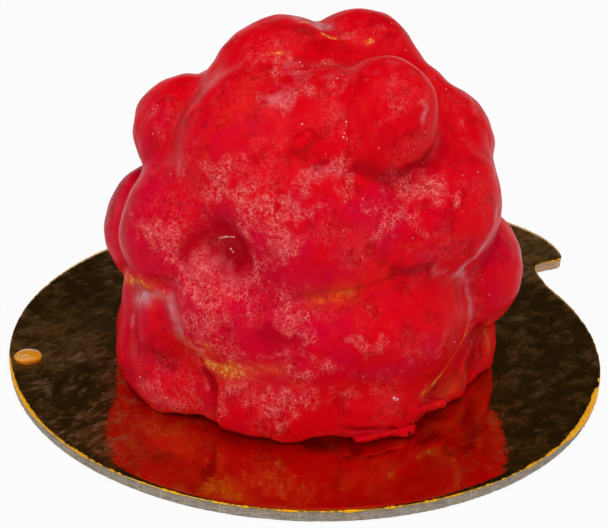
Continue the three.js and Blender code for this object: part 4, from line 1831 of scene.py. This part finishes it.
@dataclass
class CakeBoard:
    """A round card with a pull tab, and the gold film laminated on it, in millimetres and degrees."""

    radius: float = 40.0
    top: float = 1.7
    tab_azimuth: float = 57.0
    tab_edge: Pairs = (
        (0, 50.6), (4, 50.6), (8, 50.5), (12.2, 50.1), (15, 49.3), (18, 48.2), (19.3, 47.4),
    )
    tab_neck: Pairs = (
        (18.3, 43.4), (18.2, 42.4), (20.5, 41.4), (23.5, 40.7), (26.5, 40.0),
    )
    step: float = 0.35
    corner: float = 0.7
    turn_step: float = 0.6
    film_edge: float = 0.9
    film_roll: Pairs = (
        (0.64, 0.0), (0.55, 0.06), (0.42, 0.20), (0.28, 0.40), (0.16, 0.60), (0.06, 0.80), (0.0, 1.0),
    )
    film_back: Pairs = ((0.06, 1.0), (0.14, 0.8), (0.35, 0.55), (0.9, 0.5))
    roll_depths: Pairs = (
        (-180, 0.10), (-173, 0.12), (-170, 0.32), (-160, 0.46), (-152, 0.50), (-143, 0.22), (-120, 0.14),
        (-60, 0.14), (-40, 0.17), (-34, 0.24), (-29, 0.55), (-23, 0.85), (-15, 0.95), (-12.5, 0.8),
        (-11, 0.12), (-9.8, 0.12), (-9.2, 0.60), (-8.3, 0.60), (-7.8, 0.10), (31.5, 0.10), (33.5, 0.14),
        (38.0, 0.13), (39.5, 0.10), (180, 0.10),
    )
    roll_rags: tuple[Ripple, ...] = (Ripple(0.9, 0.04, 32), Ripple(2.6, 0.04, 33))
    least_roll: float = 0.09
    snug_roll: float = 0.10
    rim_highlight_over: float = 0.06
    least_rim_highlight: float = 0.15
    rim_highlight_on_top: float = 0.55
    card_edge: float = 1.2
    under_film: float = 0.12
    under_roll: float = 0.07
    side_wave: Ripple = Ripple(6.0, 0.03, 39)
    ply_roughness: tuple[float, float, int] = (1.3, 0.03, 40)
    ply_clearance: float = 0.03
    below_roll: float = 0.01
    fibre_band: tuple[float, float] = (0.4, 1.25)
    flake_band: tuple[float, float] = (0.04, 0.7)
    flakes: Sowing = Sowing("foil_burrs", Grain.FLAKE, 7, 420, (0.10, 0.06, 0.02), (0.42, 0.2, 0.05), 0.7)
    fluff: Sowing = Sowing("card_fibres", Grain.FIBRE, 9, 300, (0.15, 0.15, 0.15), (0.5, 0.5, 0.4), 0.5)
    card_side: Pairs = (
        (0.04, -0.30), (0.04, -0.44), (0.06, -0.62), (0.04, -0.85), (0.07, -1.08),
        (0.05, -1.30), (0.09, -1.48), (0.16, -1.61), (0.34, -1.68), (0.60, -1.70),
    )

    def outline(self) -> Array:
        """The board's outline seen from above, walked at even steps against the clock.

        Returns:
            The outline's points.
        """
        half = [*self.tab_edge, *self.tab_neck]
        marks = [polar(self.tab_azimuth - turn, reach)[:2] for turn, reach in reversed(half)]
        marks += [polar(self.tab_azimuth + turn, reach)[:2] for turn, reach in half[1:]]
        widest = half[-1][0]
        first, last = self.tab_azimuth + widest + self.turn_step, self.tab_azimuth + 360 - widest
        rest = np.arange(first, last, self.turn_step)
        marks += [polar(turn, self.radius)[:2] for turn in rest]
        marks.append(marks[0])
        corners = np.array(marks)
        lengths = np.linalg.norm(np.diff(corners, axis=0), axis=1)
        walked = np.concatenate([[0], np.cumsum(lengths)])
        stops = np.linspace(0, walked[-1], int(walked[-1] / self.step), endpoint=False)
        even = np.stack([np.interp(stops, walked, corners[:, axis]) for axis in (0, 1)], 1)
        spread = self.corner / self.step
        turns = np.arange(-int(4 * spread), int(4 * spread) + 1)
        weights = np.exp(-0.5 * (turns / spread) ** 2)
        return sum(weight * np.roll(even, turn, 0) for weight, turn in zip(weights / weights.sum(), turns))

    @staticmethod
    def _outward(outline: Array) -> Array:
        """The direction out of a closed outline at each of its points.

        Args:
            outline: The outline, walked against the clock.

        Returns:
            One unit vector for each point.
        """
        along = np.roll(outline, -1, 0) - np.roll(outline, 1, 0)
        out = np.stack([along[:, 1], -along[:, 0]], 1)
        return out / np.linalg.norm(out, axis=1, keepdims=True)

    def _shell(self, rings: list[Array]) -> tuple[Array, list[list[int]]]:
        """Joins rings of points into a closed shell.

        Args:
            rings: The rings, from the middle of the top down to the middle of the bottom.

        Returns:
            Points, and faces that face out.
        """
        count = len(rings[0])
        faces = [list(range(count))]
        for ring in range(len(rings) - 1):
            upper, lower = ring * count, (ring + 1) * count
            for spot in range(count):
                after = (spot + 1) % count
                faces.append([upper + spot, lower + spot, lower + after, upper + after])
        last = (len(rings) - 1) * count
        faces.append(list(range(last, last + count))[::-1])
        return np.concatenate(rings), faces

    def _ring(self, outline: Array, out: Array, inset: object, height: object) -> Array:
        """One ring of points, set in from the outline.

        Args:
            outline: The outline.
            out: The direction out of it.
            inset: How far in, the same or one for each point.
            height: How high, the same or one for each point.

        Returns:
            The ring.
        """
        flat = outline - out * np.broadcast_to(inset, len(outline))[:, None]
        return np.column_stack([flat, np.broadcast_to(height, len(outline))])

    def _roll_depth(self, outline: Array) -> Array:
        """How far down the film rolls over the cut edge.

        Args:
            outline: The board's outline.

        Returns:
            One depth for each point.
        """
        flat = np.column_stack([outline, np.zeros(len(outline))])
        ragged = sum(ripple.at(flat) for ripple in self.roll_rags)
        turn = np.degrees(np.arctan2(outline[:, 1], outline[:, 0]))
        azimuths, depths = zip(*self.roll_depths)
        return np.maximum(np.interp(turn, azimuths, depths) + ragged, self.least_roll)

    def build_film(self, shop: Workshop, film: Material) -> Piece:
        """Makes the film, rolled over the card's cut edge.

        Args:
            shop: The workshop.
            film: The film's material.

        Returns:
            The film.
        """
        outline = self.outline()
        out = self._outward(outline)
        depth = self._roll_depth(outline)
        rings = [self._ring(outline, out, self.film_edge, self.top)]
        # The rim attribute paints the rolled edge's highlight band, strongest where the film rolls deepest
        # and weaker along its top edge.
        rim = [depth * 0.0]
        rim_highlight = np.clip((depth - self.snug_roll) / self.rim_highlight_over, self.least_rim_highlight, 1)
        for inset, share in (*self.film_roll, *self.film_back):
            rings.append(self._ring(outline, out, depth * inset, self.top - depth * share))
            rim.append(rim_highlight * (1.0 if share > 0 else self.rim_highlight_on_top))
        points, faces = self._shell(rings)
        piece = shop.mesh("board_gold_film", points, faces, film)
        shop.paint(piece, "sow", np.zeros(len(points)))
        shop.paint(piece, "rim", np.concatenate(rim))
        return piece

    def build_card(self, shop: Workshop, card: Material) -> Piece:
        """Makes the card, with its rough cut side.

        Args:
            shop: The workshop.
            card: The card's material.

        Returns:
            The card.
        """
        outline = self.outline()
        out = self._outward(outline)
        depth = self._roll_depth(outline)
        rings = [self._ring(outline, out, self.card_edge, self.top - self.under_film)]
        for inset, share in self.film_roll[1:6]:
            height = self.top - depth * share - self.under_roll
            rings.append(self._ring(outline, out, depth * inset + self.under_film, height))
        wave, rough_height, seed = self.ply_roughness
        for number, (inset, drop) in enumerate(self.card_side):
            flat = np.column_stack([outline, np.full(len(outline), drop)])
            rough = Ripple(wave, rough_height, seed + number).at(flat) + self.side_wave.at(flat)
            inner = inset + self.ply_clearance + np.abs(rough)
            height = self.top + np.minimum(drop, -depth - self.below_roll)
            rings.append(self._ring(outline, out, inner, height))
        points, faces = self._shell(rings)
        piece = shop.mesh("board_card_core", points, faces, card)
        lowest, highest = self.fibre_band
        side = (points[:, 2] < highest) & (points[:, 2] > lowest)
        shop.paint(piece, "sow", side.astype(float))
        return piece

    def burrs(self, film_piece: Piece, film: Material) -> Piece:
        """Sows crumpled flakes of film along its rolled edge.

        Args:
            film_piece: The film.
            film: Its material.

        Returns:
            The flakes.
        """
        points = np.zeros(len(film_piece.data.vertices) * 3, np.float32)
        film_piece.data.vertices.foreach_get("co", points)
        height = points.reshape(-1, 3)[:, 2] / MM
        outer = np.arange(len(height)) < len(self.outline()) * (1 + len(self.film_roll))
        shallowest, deepest = self.flake_band
        edge = outer & (height < self.top - shallowest) & (height > self.top - deepest)
        film_piece.data.attributes["sow"].data.foreach_set("value", edge.astype(np.float32))
        return self.flakes.sow(film_piece, film)

    def fibres(self, card_piece: Piece, card: Material) -> Piece:
        """Sows paper fibres on the card's cut side.

        Args:
            card_piece: The card.
            card: Its material.

        Returns:
            The fibres.
        """
        return self.fluff.sow(card_piece, card)


@dataclass
class SyrupBead:
    """A set drop of syrup on the film, with two burst bubbles in its top."""

    azimuth: float = -171.3
    reach: float = 37.5
    base: float = 1.7
    half_width: float = 1.8
    half_length: float = 1.7
    height: float = 0.7
    spokes: int = 72
    rings: int = 26
    crowding: float = 1.5
    dome_foot: float = 2.6
    dome_top: float = 0.45
    lopsided: float = 0.06
    edge_waves: tuple[tuple[int, float, float], ...] = ((2, 0.05, 0.6), (3, 0.035, 2.1), (5, 0.02, 4.0))
    bubbles: tuple[Triple, ...] = ((-0.92, -1.00, 0.36), (-0.06, -0.98, 0.34))
    bubble_rim: float = 0.09
    bubble_dip: float = 0.10
    bubble_cloud: tuple[float, float] = (0.8, 0.12)
    cloud_start: float = 0.15
    cloud_slope: float = 1.1
    cloud_bias: float = 0.6

    def build(self, shop: Workshop, syrup: Material) -> Piece:
        """Makes the drop.

        Args:
            shop: The workshop.
            syrup: Its material.

        Returns:
            The drop.
        """
        turn = np.linspace(0, 2 * math.pi, self.spokes, endpoint=False)
        edge = sum((height * np.sin(count * turn + phase) for count, height, phase in self.edge_waves), 1)
        centre = polar(self.azimuth, self.reach)
        rows = []
        for share in 1 - np.linspace(0, 1, self.rings)[:-1] ** self.crowding:
            x = self.half_width * edge * share * np.cos(turn)
            y = self.half_length * edge * share * np.sin(turn)
            dome = (1 - share ** self.dome_foot) ** self.dome_top
            rise = self.height * dome * (1 - self.lopsided + self.lopsided * np.cos(turn) * share)
            for left, near, wide in self.bubbles:
                off = np.hypot(x - left, y - near)
                rise = rise + self.bubble_rim * np.exp(-((off - wide) / self.bubble_rim) ** 2)
                rise = rise - self.bubble_dip * (off < wide) * (1 - off / wide)
            rows.append(np.column_stack([centre[0] + x, centre[1] + y, self.base + rise]))
        rows.append(np.array([[centre[0], centre[1], self.base + self.height]]))
        points = np.concatenate(rows)
        faces = [list(range(self.spokes))[::-1]]
        for row in range(len(rows) - 2):
            for spot in range(self.spokes):
                after = (spot + 1) % self.spokes
                lower, upper = row * self.spokes, (row + 1) * self.spokes
                faces.append([lower + spot, lower + after, upper + after, upper + spot])
        last = (len(rows) - 2) * self.spokes
        for spot in range(self.spokes):
            faces.append([last + spot, last + (spot + 1) % self.spokes, len(points) - 1])
        piece = shop.mesh("syrup_bead", points, faces, syrup)
        behind = self.cloud_start + self.cloud_slope * (points[:, 1] - centre[1]) / self.half_length
        raised = np.clip((points[:, 2] - self.base) / self.height, 0, 1)
        cloudy = raised ** self.cloud_bias * np.clip(behind, 0, 1)
        strength, spread = self.bubble_cloud
        for left, near, wide in self.bubbles:
            off = np.hypot(points[:, 0] - centre[0] - left, points[:, 1] - centre[1] - near)
            cloudy = np.maximum(cloudy, strength * np.exp(-((off - wide) / spread) ** 2))
        shop.paint(piece, "cloudy", cloudy)
        return piece


# ---- The studio ----


@dataclass(frozen=True)
class SoftLamp:
    """A square soft lamp, placed by the way to it and aimed at the cake."""

    name: str
    azimuth: float
    elevation: float
    distance: float
    side: float
    brightness: float

    def hang(self) -> None:
        """Hangs the lamp."""
        lamp = bpy.data.lights.new(self.name, "AREA")
        lamp.shape = "SQUARE"
        lamp.size = self.side
        lamp.energy = self.brightness * math.pi * self.side ** 2
        holder = bpy.data.objects.new(self.name, lamp)
        climb = math.radians(self.elevation)
        holder.location = Vector(polar(self.azimuth, math.cos(climb), math.sin(climb))) * self.distance
        holder.rotation_euler = holder.location.to_track_quat("Z", "Y").to_euler()
        bpy.context.scene.collection.objects.link(holder)


@dataclass(frozen=True)
class CameraRig:
    """The camera: where it stands, where it looks and how far it leans, in millimetres and degrees."""

    place: Triple = (0.0, -260.363, 150.008)
    aim: Triple = (-0.603, 0.0, 14.287)
    lean: float = 2.10
    lens: float = 130.26
    nearest: float = 0.01

    def stand(self) -> None:
        """Sets up the camera."""
        camera = bpy.data.cameras.new("camera")
        camera.lens = self.lens
        camera.clip_start = self.nearest
        holder = bpy.data.objects.new("camera", camera)
        place, aim = Vector(self.place) * MM, Vector(self.aim) * MM
        facing = (aim - place).to_track_quat("-Z", "Y").to_matrix().to_4x4()
        lean = Matrix.Rotation(math.radians(self.lean), 4, "Z")
        holder.matrix_world = Matrix.Translation(place) @ facing @ lean
        bpy.context.scene.collection.objects.link(holder)
        bpy.context.scene.camera = holder


@dataclass(frozen=True)
class Studio:
    """A plain white floor under soft lamps, with a sky that is pale low down and dim above."""

    floor_half: float = 3.0
    pale: Colour = (1.0, 1.0, 1.0)
    dim: Colour = (0.021, 0.018, 0.019)
    pale_below: float = 7.0
    dim_above: float = 17.0
    lamps: tuple[SoftLamp, ...] = (
        SoftLamp("lamp overhead", -90, 74, 1.5, 1.3, 3.2),
        SoftLamp("lamp left", -140, 32, 1.6, 0.9, 1.5),
        SoftLamp("lamp right", -30, 42, 1.6, 0.9, 1.3),
    )

    def build(self) -> None:
        """Lays the floor, lights the sky and hangs the lamps."""
        half = self.floor_half
        mesh = bpy.data.meshes.new("floor")
        corners = [(-half, -half, 0), (half, -half, 0), (half, half, 0), (-half, half, 0)]
        mesh.from_pydata(corners, [], [(0, 1, 2, 3)])
        mesh.materials.append(FloorFinish().make())
        floor = bpy.data.objects.new("floor", mesh)
        bpy.context.scene.collection.objects.link(floor)
        for lamp in self.lamps:
            lamp.hang()
        self._sky()
        bpy.context.scene.view_settings.view_transform = "Standard"

    def _sky(self) -> None:
        """Makes the sky's gradient."""
        world = bpy.data.worlds.new("sky")
        bpy.context.scene.world = world
        world.use_nodes = True
        bench = NodeBench(world.node_tree)
        way = bench.node("ShaderNodeTexCoord").outputs["Generated"]
        height = bench.signal(bench.node("ShaderNodeSeparateXYZ", None, {"Vector": way}).outputs["Z"])
        low = math.sin(math.radians(self.pale_below))
        high = math.sin(math.radians(self.dim_above))
        colour = bench.blend(height.rise(low, high), self.pale, self.dim)
        sky = bench.node("ShaderNodeBackground", None, {"Color": colour, "Strength": 1.0})
        bench.node("ShaderNodeOutputWorld", None, {"Surface": sky.outputs["Background"]})


def main() -> None:
    """Builds the studio, the board, the cake and the drop, and notes how large they came out."""
    logging.basicConfig(level=logging.INFO, format="%(message)s")
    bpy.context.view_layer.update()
    CameraRig().stand()
    Studio().build()
    shop = Workshop()
    glaze = GlazeFinish().make()
    card = CardFinish().make()
    film = FilmFinish().make()
    crumpled = FilmFinish(name="crumpled gold film", gold=FilmFinish.edge).make()
    crystal_and_glint = CrystalGlintFinish().make()
    syrup = SyrupFinish().make()

    cake = GlazedCake()
    skin_piece = cake.build(shop, glaze)
    sown = cake.sown_crystals(skin_piece, crystal_and_glint)
    shop.finished(skin_piece, Slot.GLAZE, "glazed_cake")
    shop.finished(sown, Slot.GLAZE)
    # Pale beads set where glints are painted.
    shop.finished(cake.set_glints(shop, crystal_and_glint), Slot.GLAZE)

    board = CakeBoard()
    film_piece = board.build_film(shop, film)
    card_piece = board.build_card(shop, card)
    burrs = board.burrs(film_piece, crumpled)
    fibres = board.fibres(card_piece, card)
    shop.finished(film_piece, Slot.FILM, "board_film")
    shop.finished(card_piece, Slot.CARD, "board_card")
    shop.finished(burrs, Slot.FILM)
    shop.finished(fibres, Slot.CARD)

    shop.finished(SyrupBead().build(shop, syrup), Slot.SYRUP, "syrup_drop")

    LOG.info("%d pieces", len(shop.pieces))


if __name__ == "__main__":
    main()
